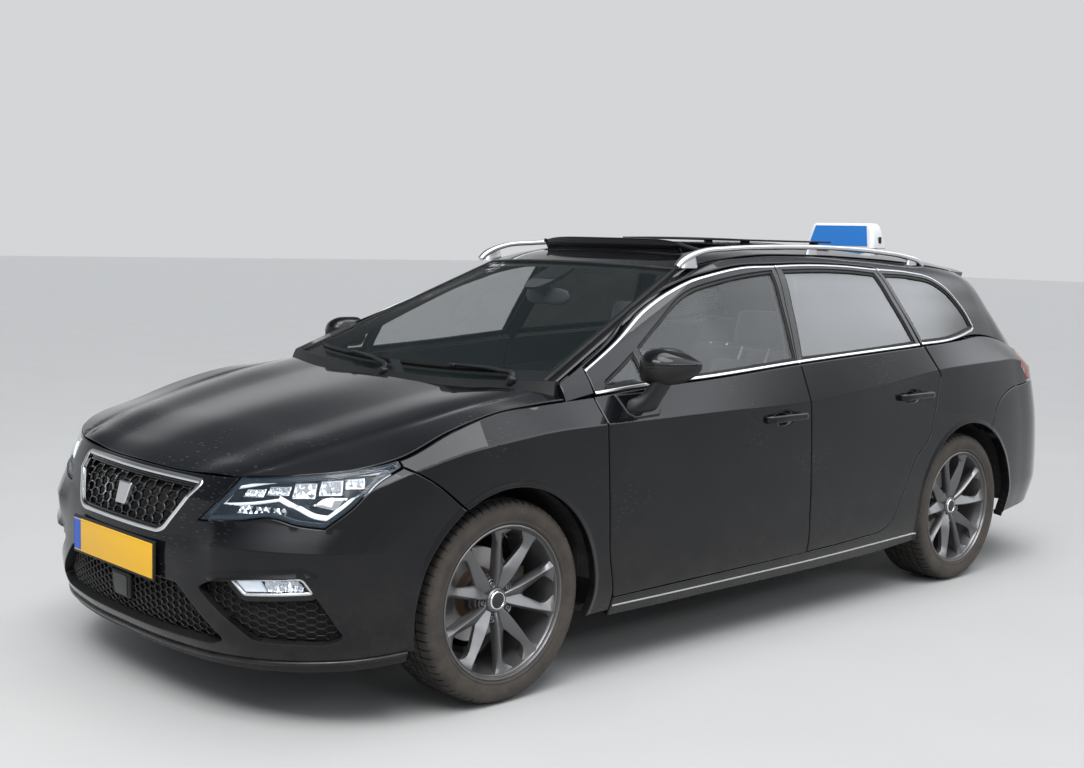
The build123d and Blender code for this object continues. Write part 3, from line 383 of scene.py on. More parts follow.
def reflected(points, middle=0.0, part=0):  # an outline's points mirrored in one coordinate, in reverse order
    return [tuple(2 * middle - value if k == part else value for k, value in enumerate(point))
            for point in reversed(points)]


def otherSide(loop, half=0.0):  # a loop of u, v points on the other side of the car
    return np.stack([2 * half - loop[::-1, 0], loop[::-1, 1]], 1)


def rounded(points, step=12.0, sharp=40.0):  # a closed outline made smooth, its sharp corners kept
    p = np.asarray(points, float)
    q = np.roll(p, -1, 0)
    length = np.linalg.norm(q - p, axis=1)[:, None]
    after = (q - p) / length
    before, lengthBefore = np.roll(after, 1, 0), np.roll(length, 1, 0)
    turn = np.degrees(np.arccos(np.clip((before * after).sum(1), -1, 1)))[:, None]
    smooth = (before * length + after * lengthBefore) / (length + lengthBefore)
    smooth = np.where(length > 3 * lengthBefore, after, np.where(lengthBefore > 3 * length, before, smooth))
    leave = np.where(turn > sharp, after, smooth)
    arrive = np.where(turn > sharp, before, smooth)
    found = []
    for index in range(len(p)):
        count = max(1, round(float(length[index, 0]) / step))
        f = np.linspace(0, 1, count, endpoint=False)[:, None]
        found.append(curveAt(f, length[index], p[index], q[index], leave[index], arrive[(index + 1) % len(p)]))
    return np.concatenate(found)


def turnsLeft(loop):
    return (loop[:, 0] * np.roll(loop[:, 1], -1) - np.roll(loop[:, 0], -1) * loop[:, 1]).sum() > 0


def inset(loop, amount):  # a closed loop moved towards its inside
    after = np.roll(loop, -1, 0) - loop
    after = after / np.maximum(np.linalg.norm(after, axis=1), 1e-9)[:, None]
    before = np.roll(after, 1, 0)
    normal = lambda d: np.stack([-d[:, 1], d[:, 0]], 1)
    both = normal(before) + normal(after)
    both = both / np.maximum(1 + (before * after).sum(1), 0.35)[:, None]
    return loop + both * (amount if turnsLeft(loop) else -amount)


def insideOf(points, loop):
    x, y = points[:, 0][:, None], points[:, 1][:, None]
    a, b = loop, np.roll(loop, -1, 0)
    crossing = ((a[:, 1] > y) != (b[:, 1] > y)) & (
        x < (b[:, 0] - a[:, 0]) * (y - a[:, 1]) / np.where(b[:, 1] == a[:, 1], 1e-9, b[:, 1] - a[:, 1]) + a[:, 0])
    return crossing.sum(1) % 2 == 1


def within(points, outer, holes):  # inside the outer loop and outside every hole
    keep = insideOf(points, outer)
    for hole in holes:
        keep &= ~insideOf(points, hole)
    return keep


def edgeDistance(points, loops):  # distance to the nearest loop, and the direction out over it
    best, way = np.full(len(points), 1e9), np.zeros((len(points), 2))
    for loop, sign in loops:
        a, b = loop, np.roll(loop, -1, 0)
        ab = b - a
        for start in range(0, len(points), 2000):
            part = points[start:start + 2000]
            f = np.clip(((part[:, None] - a) * ab).sum(2) / np.maximum((ab ** 2).sum(1), 1e-9), 0, 1)
            gap = np.linalg.norm(part[:, None] - (a + f[..., None] * ab), axis=2)
            k = gap.argmin(1)
            value = gap[np.arange(len(part)), k]
            out = np.stack([ab[k, 1], -ab[k, 0]], 1) * sign
            out = out / np.maximum(np.linalg.norm(out, axis=1), 1e-9)[:, None]
            nearer = value < best[start:start + 2000]
            best[start:start + 2000][nearer] = value[nearer]
            way[start:start + 2000][nearer] = out[nearer]
    return best, way


def panel(name, skin, outline, materials, holes=(), gap=2.2, recess=0.0, depth=30.0, roll=(2.4, 4.0), step=20.0,
          lines=(), edgeStep=10.0, loops=None, flat=False):
    # A closed panel cut from a skin: rolled edges, flanges and an inner face. gap draws it in at each edge.
    outer = rounded(outline, edgeStep) if loops is None else loops
    outer = inset(outer if turnsLeft(outer) else outer[::-1], gap)
    inner = [inset(hole if isinstance(hole, np.ndarray) else rounded(hole, edgeStep), -0.01) for hole in holes]
    drop, width = roll
    rings = [outer] + inner
    borders = [(outer, 1)] + [(hole, -1 if turnsLeft(hole) else 1) for hole in inner]
    for share in ((0.35, 1.0) if drop else (1.0,)):
        rings += [inset(outer, width * share)] + [inset(hole, -width * share) for hole in inner]
    low, high = outer.min(0), outer.max(0)
    rows = []
    for index, v in enumerate(np.arange(low[1] + step * 0.4, high[1], step * 0.866)):
        u = np.arange(low[0] + step * (0.5 if index % 2 else 0.1), high[0], step)
        rows.append(np.stack([u, np.full(len(u), v)], 1))
    grid = np.concatenate(rows) if rows else np.zeros((0, 2))
    if len(grid):
        grid = grid[within(grid, outer, inner)]
        grid = grid[edgeDistance(grid, borders)[0] > width + step * 0.4]
    points, edges, count = [], [], 0
    for ring in rings:
        points.append(ring)
        edges += [(count + k, count + (k + 1) % len(ring)) for k in range(len(ring))]
        count += len(ring)
    for line in lines:
        line = np.asarray(line, float)
        keep = within(line, outer, inner)
        points.append(line)
        edges += [(count + k, count + k + 1) for k in range(len(line) - 1) if keep[k] and keep[k + 1]]
        count += len(line)
    points.append(grid)
    result = delaunay_2d_cdt([Vector(p) for p in np.concatenate(points)], edges, [], 0, 1e-4)
    flat2d = np.array([tuple(p) for p in result[0]])
    tris = np.array([tuple(t) for t in result[2]])
    tris = tris[within(flat2d[tris].mean(1), outer, inner)]
    used, tris = np.unique(tris, return_inverse=True)
    tris = tris.reshape(-1, 3)
    flat2d = flat2d[used]
    a, b, c = (flat2d[tris[:, k]] for k in range(3))
    turned = (b[:, 0] - a[:, 0]) * (c[:, 1] - a[:, 1]) - (b[:, 1] - a[:, 1]) * (c[:, 0] - a[:, 0]) < 0
    tris[turned] = tris[turned][:, ::-1]
    u, v = flat2d[:, 0], flat2d[:, 1]
    gapTo, way = edgeDistance(flat2d, borders)
    share = np.clip(1 - gapTo / width, 0, 1)
    top = skin.at(u, v, recess + drop * share ** 2)
    alongU = unit(skin.at(u + 1, v, recess) - skin.at(u - 1, v, recess))
    normal = unit(np.cross(alongU, skin.at(u, v + 1, recess) - skin.at(u, v - 1, recess)))
    alongV = np.cross(normal, alongU)
    slant = (2 * drop / width * share)[:, None]
    normal = unit(normal + slant * (alongU * way[:, :1] + alongV * way[:, 1:]))
    under = skin.at(u, v, recess + depth)
    total = len(u)
    ordered = np.concatenate([tris[:, [0, 1]], tris[:, [1, 2]], tris[:, [2, 0]]])
    _, index, counts = np.unique(np.sort(ordered, axis=1), axis=0, return_index=True, return_counts=True)
    rim = ordered[index[counts == 1]]
    faces = ([tuple(t) for t in tris] + [(b, a, a + total, b + total) for a, b in rim]
             + [tuple(t + total) for t in tris[:, ::-1]])
    marks = [0] * (len(tris) + len(rim)) + [min(1, len(materials) - 1)] * len(tris)
    smooth = [not flat] * len(tris) + [False] * len(rim) + [True] * len(tris)
    loopNormals = np.zeros((len(tris) * 6 + len(rim) * 4, 3))
    loopNormals[:len(tris) * 3] = normal[tris.reshape(-1)]
    return newObject(name, np.concatenate([top, under]), faces, materials, marks, smooth, None if flat else loopNormals)


def band(line, width):  # a closed outline of that width along an open line of u, v points
    p = np.asarray(line, float)
    way = unit(np.gradient(p, axis=0))
    side = np.stack([-way[:, 1], way[:, 0]], 1) * width / 2
    return np.concatenate([p + side, (p - side)[::-1]])


def smoothLine(points, step=12.0):  # an open line through the points
    p = np.asarray(points, float)
    length = np.linalg.norm(np.diff(p, axis=0), axis=1)
    keys = np.concatenate([[0], np.cumsum(length)])
    slope = slopes(keys, p)
    found = []
    for index, span in enumerate(length):
        f = np.linspace(0, 1, max(1, round(span / step)), endpoint=False)[:, None]
        found.append(curveAt(f, span, p[index], p[index + 1], slope[index], slope[index + 1]))
    return np.concatenate(found + [p[-1:]])


def sheet(name, rings, materials, closedU=False, closedV=False, caps=False, marks=None, smooth=True):
    # rings[i][j] are points. Neighbours are joined, and with caps the first and last ring are closed.
    rings = np.asarray(rings, float)
    rows, columns = rings.shape[:2]
    faces, kinds = [], []
    for i in range(rows if closedU else rows - 1):
        for j in range(columns if closedV else columns - 1):
            a, b = i * columns + j, i * columns + (j + 1) % columns
            c, d = ((i + 1) % rows) * columns + (j + 1) % columns, ((i + 1) % rows) * columns + j
            faces.append((a, b, c, d))
            kinds.append(marks(i, j) if marks else 0)
    if caps:
        faces.append(tuple(range(columns - 1, -1, -1)))
        faces.append(tuple((rows - 1) * columns + j for j in range(columns)))
        kinds += [marks(0, 0) if marks else 0, marks(rows - 1, 0) if marks else 0]
    made = newObject(name, rings.reshape(-1, 3), faces, materials, kinds, smooth)
    merge = 0.02 * mm
    shape = bmesh.new()
    shape.from_mesh(made.data)
    bmesh.ops.remove_doubles(shape, verts=shape.verts, dist=merge)
    bmesh.ops.dissolve_degenerate(shape, edges=shape.edges, dist=merge * 0.5)
    bmesh.ops.recalc_face_normals(shape, faces=shape.faces)
    shape.to_mesh(made.data)
    shape.free()
    return made


def sharpen(made, angle=32):
    made.data.shade_smooth()
    made.data.set_sharp_from_angle(angle=math.radians(angle))
    return made


def finishMods(made, bevel=0.0, segments=2, limit=35, thick=0.0):  # modifiers, applied at once
    if thick:
        wall = made.modifiers.new("wall", "SOLIDIFY")
        wall.thickness, wall.offset, wall.use_even_offset = thick * mm, -1.0, True
    if bevel:
        edge = made.modifiers.new("edge", "BEVEL")
        edge.width, edge.segments = bevel * mm, segments
        edge.limit_method, edge.angle_limit = "ANGLE", math.radians(limit)
    return applied(made)


def applied(made):
    if made.modifiers:
        bpy.context.view_layer.update()
        old = made.data
        graph = bpy.context.evaluated_depsgraph_get()
        made.data = bpy.data.meshes.new_from_object(made.evaluated_get(graph), depsgraph=graph)
        made.modifiers.clear()
        bpy.data.meshes.remove(old)
    return made


def joined(name, parts):  # several objects as one mesh
    shape = bmesh.new()
    materials = []
    for part in parts:
        start = len(shape.faces)
        shape.from_mesh(part.data)
        shape.faces.ensure_lookup_table()
        table = []
        for material in part.data.materials:
            if material not in materials:
                materials.append(material)
            table.append(materials.index(material))
        for face in shape.faces[start:]:
            face.material_index = table[face.material_index] if table else 0
    mesh = bpy.data.meshes.new(name)
    shape.to_mesh(mesh)
    shape.free()
    for material in materials:
        mesh.materials.append(material)
    for part in parts:
        bpy.data.objects.remove(part)
    return added(name, mesh)


def mirrored(made):  # the piece moved to the other side of the car
    shape = bmesh.new()
    shape.from_mesh(made.data)
    for vert in shape.verts:
        vert.co.y = -vert.co.y
    bmesh.ops.reverse_faces(shape, faces=shape.faces)
    shape.to_mesh(made.data)
    shape.free()
    return made


def bothSides(name, parts):  # the parts and their mirror image as one mesh
    left = joined(name + "Left", parts)
    return joined(name, [left, mirrored(added(name + "Right", left.data.copy()))])


def fit(made, body, slot, *nodes):  # the piece rides on a body and stands for CAD nodes, which it hides; slot is not used
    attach(made, body)
    if nodes:
        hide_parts(*nodes)
    return made


# The lower body at each row: x, y, heading, sill z, sill inset, crease z, crease inset, belt z, belt inset
lowerRows = [
    (2262, 0, 0, 165, 62, 650, 36, 716, 95),
    (2247, 280, 8, 167, 55, 650, 36, 716, 95),
    (2192, 530, 26, 175, 45, 655, 32, 728, 76),
    (2080, 718, 50, 195, 32, 665, 22, 748, 62),
    (1935, 838, 70, 215, 25, 700, 12, 770, 55),
    (1800, 882, 84, 228, 20, 750, 10, 792, 62),
    (1600, 903, 90, 235, 15, 800, 6, 858, 90),
    (1416, 908, 90, 235, 15, 822, 8, 902, 100),
    (1225, 903, 90, 222, 14, 838, 7, 914, 104),
    (1050, 897, 90, 200, 35, 841, 4, 924, 85),
    (757, 895, 90, 190, 45, 843, 2, 947, 60),
    (422, 895, 90, 190, 45, 845, 2, 962, 50),
    (-80, 897, 90, 190, 45, 850, 2, 993, 45),
    (-600, 899, 90, 200, 40, 888, 12, 1016, 54),
    (-1000, 903, 90, 230, 22, 926, 30, 1031, 74),
    (-1220, 905, 90, 240, 20, 935, 38, 1040, 98),
    (-1500, 898, 91, 250, 22, 940, 52, 1050, 138),
    (-1700, 878, 94, 258, 26, 940, 56, 1030, 150),
    (-1900, 838, 106, 266, 30, 905, 45, 985, 130),
    (-2080, 735, 128, 276, 35, 880, 55, 962, 110),
    (-2195, 540, 152, 284, 40, 868, 60, 950, 92),
    (-2256, 280, 170, 290, 40, 865, 60, 946, 86),
    (-2274, 0, 180, 290, 40, 865, 60, 945, 85),
]
# The upper body at each row: belt x, y, z, then roof x, y, z
upperRows = [
    (1111, 800, 905, 1111, 705, 969),
    (969, 815, 915, 969, 674, 1031),
    (757, 835, 925, 757, 628, 1124),
    (590, 840, 932, 590, 592, 1197),
    (422, 845, 940, 422, 556, 1270),
    (286, 847, 947, 286, 525, 1330),
    (190, 848, 952, 190, 545, 1354),
    (-80, 850, 970, -80, 575, 1385),
    (-420, 849, 982, -420, 573, 1390),
    (-850, 838, 1000, -850, 566, 1380),
    (-1220, 807, 1012, -1220, 556, 1362),
    (-1500, 760, 1012, -1450, 545, 1345),
    (-1700, 728, 998, -1600, 528, 1330),
    (-1868, 712, 960, -1700, 480, 1325),
    (-2012, 648, 940, -1765, 400, 1325),
    (-2114, 497, 930, -1810, 290, 1330),
    (-2171, 265, 926, -1830, 150, 1335),
    (-2189, 0, 925, -1835, 0, 1338),
]
upperBulges = [(0, 0), (0.45, 26), (0.87, 26), (1, 0)]  # share of the way up, and how far the wall stands out there
widestHeight = 440


def lowerColumns(row, side=1):
    x, y, heading, sillZ, sillIn, creaseZ, creaseIn, beltZ, beltIn = row
    out = np.array([math.cos(math.radians(heading)), math.sin(math.radians(heading)) * side, 0])
    foot = np.array([x, y * side, 0.0])
    return [foot - out * inward + (0, 0, z) for inward, z in (
        (sillIn, sillZ), (sillIn * 0.3, sillZ + 75), (0, widestHeight), (creaseIn * 0.2, (widestHeight + creaseZ) / 2),
        (creaseIn, creaseZ), (beltIn, beltZ))]


def upperColumns(row, side=1):
    foot, head = np.array(row[:3], float), np.array(row[3:], float)
    foot[1] *= side
    head[1] *= side
    chord = head - foot
    level = np.array([chord[0], chord[1], 0]) / math.hypot(chord[0], chord[1])
    out = np.array([-level[0] * chord[2], -level[1] * chord[2], math.hypot(chord[0], chord[1])])
    out = out / np.linalg.norm(out)
    return [foot + chord * share + out * bulge for share, bulge in upperBulges]


def distances(points):
    return np.concatenate([[0], np.cumsum(np.linalg.norm(np.diff(np.asarray(points, float), axis=0), axis=1))])


run = distances([row[:2] for row in lowerRows])
total = run[-1]
lowerKeys = np.concatenate([[-2 * total + run[-2]], -run[:0:-1], run, [2 * total - run[-2]]])
lowerGrid = ([lowerColumns(lowerRows[-2])] + [lowerColumns(row, -1) for row in lowerRows[:0:-1]]
             + [lowerColumns(row) for row in lowerRows] + [lowerColumns(lowerRows[-2], -1)])
lowerSkin = Skin(lowerKeys, lowerGrid, [0, 80, 260, 450, 650, 760], [4], 2, total, True)

run = distances([row[:2] for row in upperRows])
total = run[-1]
upperSkin = Skin(np.concatenate([run, 2 * total - run[-2::-1]]),
                 [upperColumns(row) for row in upperRows] + [upperColumns(row, -1) for row in upperRows[-2::-1]],
                 [0, 200, 390, 450], [], 2, total)

# The bonnet at each row: x, middle z, crease y, crease z, edge y, edge z
bonnetRows = [
    (1100, 956, 690, 950, 808, 922),
    (1250, 940, 672, 931, 800, 914),
    (1400, 918, 652, 909, 807, 903),
    (1600, 884, 628, 868, 813, 858),
    (1800, 842, 590, 822, 820, 792),
    (1916, 813, 562, 795, 786, 768),
    (2040, 772, 522, 756, 670, 746),
    (2124, 738, 482, 728, 560, 722),
    (2180, 706, 450, 696, 530, 690),
    (2240, 668, 420, 650, 500, 640),
]


def bonnetColumns(row):
    x, middleZ, creaseY, creaseZ, edgeY, edgeZ = row
    rise = middleZ - creaseZ
    half = [(edgeY, edgeZ), (creaseY + (edgeY - creaseY) * 0.4, creaseZ - (creaseZ - edgeZ) * 0.34),
            (creaseY + 12, creaseZ - 2.5),
            (creaseY - 14, creaseZ + 1.5), (creaseY * 0.55, creaseZ + rise * 0.45 - 3)]
    return [(x, -y, z) for y, z in half] + [(x, 0, middleZ)] + [(x, y, z) for y, z in reversed(half)]


bonnetSkin = Skin([row[0] for row in bonnetRows], [bonnetColumns(row) for row in bonnetRows],
                  [-800, -720, -640, -610, -340, 0, 340, 610, 640, 720, 800], [], 1)

# The roof at each row: x, half width, edge z, middle z
roofRows = [
    (-1860, 455, 1318, 1362),
    (-1700, 475, 1327, 1382),
    (-1600, 523, 1332, 1392),
    (-1450, 540, 1347, 1408),
    (-1220, 551, 1364, 1422),
    (-850, 561, 1382, 1436),
    (-420, 568, 1392, 1434),
    (-80, 570, 1387, 1416),
    (190, 540, 1352, 1380),
    (345, 495, 1316, 1343),
]


def roofColumns(row):
    x, half, edgeZ, middleZ = row
    rise = middleZ - edgeZ
    left = [(-half, edgeZ), (-half * 0.85, edgeZ + rise * 0.4), (-half * 0.6, edgeZ + rise * 0.74),
            (-half * 0.3, edgeZ + rise * 0.94)]
    return [(x, y, z) for y, z in left] + [(x, 0, middleZ)] + [(x, -y, z) for y, z in reversed(left)]


roofSkin = Skin([row[0] for row in roofRows], [roofColumns(row) for row in roofRows],
                [-560, -476, -336, -168, 0, 168, 336, 476, 560], [], 1)


frontArch, rearArch = (1416, 360), (-1220, 370)  # centre x and radius
lipLook = {"stand": 5.0, "width": 26.0}


def archLips(u, v, p):  # the flared lips round the wheel arches
    lift = np.zeros(len(u))
    for centreX, radius in (frontArch, rearArch):
        away = np.hypot(p[:, 0] - centreX, p[:, 2] - axleHeight) - radius
        f = np.clip(1 - away / lipLook["width"], 0, 1)
        lift += lipLook["stand"] * f * f * (3 - 2 * f) * (p[:, 2] > 150)
    return lift


lowerSkin.reliefs.append(archLips)


def archArc(arch, start, end, count):  # x, z points round a wheel arch, by angle from the front
    centreX, radius = arch
    return [(centreX + radius * math.cos(math.radians(a)), axleHeight + radius * math.sin(math.radians(a)))
            for a in np.linspace(start, end, count)]


# Rings of points where the lips begin and end, so that panels follow them cleanly
archGuides = [lowerSkin.find([(centreX + (radius + away) * math.cos(a), axleHeight + (radius + away) * math.sin(a))
                              for a in np.linspace(-0.3, math.pi + 0.3, 90)])
              for centreX, radius in (frontArch, rearArch) for away in (8, 17, 26, 31)]


handlePlaces = {"front_door": (190, -42, 800), "rear_door": (-680, -905, 830)}  # front x, rear x, middle height
bowlLook = {"depth": 16.0, "share": 0.31, "high": 31.0}


def handleBowl(u, v, p):
    lift = np.zeros(len(u))
    for frontX, rearX, z in handlePlaces.values():
        middle = (frontX + rearX) / 2 + 14
        away = np.hypot((p[:, 0] - middle) / ((frontX - rearX) * bowlLook["share"]), (p[:, 2] - z) / bowlLook["high"])
        f = np.clip(1 - away, 0, 1) * (p[:, 2] > z - 60)
        lift -= bowlLook["depth"] * np.clip(f * 2.2, 0, 1) ** 2 * (3 - 2 * np.clip(f * 2.2, 0, 1))
    return lift


lowerSkin.reliefs.append(handleBowl)
bowlGuides = []
for frontX, rearX, z in handlePlaces.values():
    middle, wide = (frontX + rearX) / 2 + 14, (frontX - rearX) * bowlLook["share"]
    for share in (0.2, 0.45, 0.55, 0.66, 0.78, 0.9, 1.0, 1.06):
        ring = lowerSkin.find([(middle + wide * share * math.cos(a), z + bowlLook["high"] * share * math.sin(a))
                               for a in np.linspace(0, 2 * math.pi, 40)])
        bowlGuides.append(ring)


sillLine, creaseLine, beltLine = 0, 4, 5  # the lower skin's own lines


def creaseLines(low, high):  # three lines on and beside the lower body's crease
    u = np.arange(low, high, 14.0)
    z = lowerSkin.rowsAt(u)[:, creaseLine, 2]
    return [np.stack([u, z + shift], 1) for shift in (-4.0, 0, 4.0)]


def columnLine(skin, column, start, end, shift=0.0):  # points along one of a skin's own lines
    u = np.linspace(start, end, max(2, round(abs(end - start) / 15) + 1))
    return list(zip(u, skin.rowsAt(u)[:, column, 2] + shift))


def lowU(x, z=440):
    return lowerSkin.find([(x, z)])[0][0]


def pair(name, body, slot, skin, outline, materials, nodes=(), **settings):  # a panel on each side of the car
    outline = np.asarray(outline, float) if isinstance(outline, np.ndarray) else rounded(outline, 10)
    holes = [rounded(hole, 8) for hole in settings.pop("holes", ())]
    lines = settings.pop("lines", [])
    made = []
    for side, sign in sides.items():
        turn = (lambda loop: loop) if sign > 0 else (lambda loop: otherSide(loop, skin.half))
        piece = panel(name + side.capitalize(), skin, None, materials, [turn(hole) for hole in holes],
                      loops=turn(outline), lines=[turn(np.asarray(line)) for line in lines], **settings)
        fit(piece, body + "_" + side if body.endswith(("door", "knuckle")) else body, slot,
            *[node + "_" + side if node + "_" + side in frame["nodes"] else node for node in nodes])
        made.append(piece)
    return made


shoulder = creaseLines(lowU(1810), lowU(-1790)) + archGuides + bowlGuides
frontDoorTop = [(983, 1012), (787, 1100), (588, 1193), (389, 1268), (191, 1322), (31, 1348), (-148, 1355)]
rearDoorTop = [(-154, 1355), (-300, 1359), (-421, 1360), (-645, 1355), (-838, 1344)]
doorSplit = [(-147, 1343), (-120, 1240), (-58, 993), (-76, 853), (-92, 553), (-98, 339), (-98, 274)]
doorEnd = [(-835, 1325), (-922, 1029), (-998, 905), (-946, 751), (-924, 683)]
doorLook = {"depth": 60, "frameDepth": 28, "gap": 2.4}
waist = 2.0  # the painted skins end this far below the belt

# Front wing
bumperSeam = [(1798, 772), (1720, 727), (1600, 632)]
wingLine = (columnLine(lowerSkin, beltLine, lowU(1798, 792), lowU(1004, 900), -waist)
            + lowerSkin.find([(1004, 860), (1004, 840), (992, 600), (978, 394), (956, 280), (952, 215)])
            + lowerSkin.find(archArc(frontArch, 196.5, 60, 18)) + lowerSkin.find(bumperSeam[1::-1]))
pair("frontWing", "body", "paint", lowerSkin, wingLine, [paint, trimBlack], ["front_wings"], depth=26, lines=shoulder)

# Doors below the belt
frontDoorLine = (columnLine(lowerSkin, beltLine, lowU(1004, 900), lowU(-58, 980), -waist)
                 + lowerSkin.find(doorSplit[3:]) + lowerSkin.find([(-98, 272), (300, 268), (700, 265), (950, 262)])
                 + lowerSkin.find([(956, 280), (978, 394), (992, 600), (1004, 840), (1004, 860)]))
pair("frontDoorSkin", "front_door", "paint", lowerSkin, frontDoorLine, [paint, cabinPlastic], ["front_door"],
     depth=doorLook["depth"], lines=shoulder)
rearDoorLine = (columnLine(lowerSkin, beltLine, lowU(-58, 980), lowU(-922, 1010), -waist)
                + lowerSkin.find(doorEnd[2:])
                + lowerSkin.find([(-800, 560), (-720, 430), (-674, 361), (-640, 318), (-589, 297),
                                  (-456, 286), (-98, 274)])
                + lowerSkin.find(doorSplit[3:6][::-1]))
pair("rearDoorSkin", "rear_door", "paint", lowerSkin, rearDoorLine, [paint, cabinPlastic], ["rear_door"],
     depth=doorLook["depth"], lines=shoulder)

# Sill and rear quarter below the belt
bumperTop = [(-1395, 645), (-1496, 768), (-1600, 808), (-1800, 828)]
quarterLine = (columnLine(lowerSkin, sillLine, lowU(952, 200), lowU(-861, 230), 1)
               + lowerSkin.find(archArc(rearArch, -13, 118, 20)) + lowerSkin.find(bumperTop[1:])
               + lowerSkin.find([(-1832, 838), (-1768, 905), (-1790, 948)])
               + columnLine(lowerSkin, beltLine, lowU(-1830, 1000), lowU(-930, 1010), -waist)
               + lowerSkin.find(doorEnd[2:])
               + lowerSkin.find([(-800, 560), (-720, 430), (-674, 361), (-640, 318), (-589, 297),
                                 (-456, 286), (-98, 274), (300, 268), (952, 262)]))
pair("sideFrameLower", "body", "paint", lowerSkin, quarterLine, [paint, cabinPlastic],
     ["side_frame_left", "side_frame_right"], depth=60, lines=shoulder)

# Window frames, roof sides and rear quarters above the belt
pillarWindow = [(925, 948), (925, 966), (742, 1056), (742, 955)]
frontWindow = [(714, 957), (714, 1070), (560, 1152), (389, 1237), (191, 1292), (31, 1318), (-118, 1332), (-54, 1004),
               (422, 972)]
rearWindow = [(-180, 1334), (-421, 1338), (-645, 1333), (-806, 1322), (-888, 1040), (-500, 1022), (-90, 1006)]
quarterWindow = [(-868, 1320), (-1091, 1310), (-1263, 1282), (-1367, 1226), (-1440, 1150), (-1470, 1085), (-1411, 1076),
                 (-1173, 1050), (-948, 1042)]
upU = lambda x, z: upperSkin.find([(x, z)])[0][0]
roofEdge = columnLine(upperSkin, 3, upU(1108, 965), upU(-1640, 1325), -1)
tailgateSide = [(-1690, 486, 1322), (-1770, 484, 1285), (-1880, 545, 1170), (-1960, 604, 1060), (-2090, 646, 950)]


def beltOnUpper(x0, x1, shift=0.0):  # the belt line carried onto the upper skin
    u = np.linspace(lowU(x0, 940), lowU(x1, 940), max(2, round(abs(x1 - x0) / 15)))
    rim = lowerSkin.rowsAt(u)[:, beltLine]
    return upperSkin.find([(x, z + shift) for x, _, z in rim])


frontFrame = beltOnUpper(983, -58) + upperSkin.find(doorSplit[1::-1]) + upperSkin.find(frontDoorTop[::-1])
pair("frontDoorFrame", "front_door", "paint", upperSkin, frontFrame, [paint, cabinPlastic], ["front_door"],
     depth=doorLook["frameDepth"], holes=[upperSkin.find(frontWindow), upperSkin.find(pillarWindow)])
rearFrame = (beltOnUpper(-58, -922) + upperSkin.find([(-880, 1178), doorEnd[0]]) + upperSkin.find(rearDoorTop[::-1])
             + upperSkin.find(doorSplit[:2]))
pair("rearDoorFrame", "rear_door", "paint", upperSkin, rearFrame, [paint, cabinPlastic], ["rear_door"],
     depth=doorLook["frameDepth"], holes=[upperSkin.find(rearWindow)])
upperSide = (roofEdge + upperSkin.find(tailgateSide) + beltOnUpper(-1880, -930)
             + upperSkin.find([(-880, 1178), doorEnd[0]]) + upperSkin.find(rearDoorTop[::-1])
             + upperSkin.find(frontDoorTop[::-1])
             + upperSkin.find([(983, 930), (1108, 908)]))
pair("sideFrameUpper", "body", "paint", upperSkin, upperSide, [paint, cabinPlastic],
     ["side_frame_left", "side_frame_right"], depth=28, holes=[upperSkin.find(quarterWindow)])
print("doors and side frames made")

# Glass in its seals
for name, body, outline, glass, node in (
        ("frontDoorGlass", "front_door", frontWindow, sideGlass, "front_door_glass"),
        ("pillarGlass", "front_door", pillarWindow, sideGlass, "front_door_glass"),
        ("rearDoorGlass", "rear_door", rearWindow, darkGlass, "rear_door_glass"),
        ("quarterGlass", "body", quarterWindow, darkGlass, "quarter_glass")):
    edge = rounded(upperSkin.find(outline), 8)
    pair(name, body, "dark_glass" if glass is darkGlass else "side_glass", upperSkin, edge, [glass], [node], gap=-3,
         recess=9,
         depth=4.5, roll=(0, 3), step=40)
    pair(name + "Seal", body, "trim_black", upperSkin, edge, [rubberSeal], holes=[[tuple(p) for p in inset(edge, 9)]],
         gap=-1,
         recess=4.5, depth=9, roll=(1.2, 2.5), step=200)

# Front bumper, with its grille, intake and lamp openings
grilleOutline = [(-378, 700), (-262, 535), (262, 535), (378, 700)]
intakeOutline = [(-337, 402), (-522, 258), (-468, 238), (468, 238), (522, 258), (337, 402)]
pocketOutline = [(472, 425), (610, 452), (738, 463), (812, 292), (778, 266), (612, 268), (520, 335), (430, 402)]
lampLower = [(412, 596), (560, 612), (650, 627), (713, 611), (772, 605), (812, 655), (845, 735)]
halfBumper = (columnLine(lowerSkin, beltLine, 0, lowerSkin.find([(506, 716)], "front")[0][0], -waist)
              + lowerSkin.find([(480, 676)] + lampLower, "front") + lowerSkin.find(bumperSeam)
              + lowerSkin.find(archArc(frontArch, 55, -14, 12))
              + columnLine(lowerSkin, sillLine, lowU(1766, 240), 0, 1))
bumperLine = rounded(halfBumper + reflected(halfBumper[1:-1]), 10)


def roundCorners(points, radius):  # cuts each corner of a y, z outline with a small arc
    p = np.asarray(points, float)
    found = []
    for index in range(len(p)):
        here, last, after = p[index], p[index - 1], p[(index + 1) % len(p)]
        a, b = last - here, after - here
        a, b = a / np.linalg.norm(a), b / np.linalg.norm(b)
        reach = min(radius, 0.4 * np.linalg.norm(last - here), 0.4 * np.linalg.norm(after - here))
        for f in (0, 0.25, 0.5, 0.75, 1):
            found.append(tuple(here + a * reach * (1 - f) ** 2 + b * reach * f ** 2))
    return found


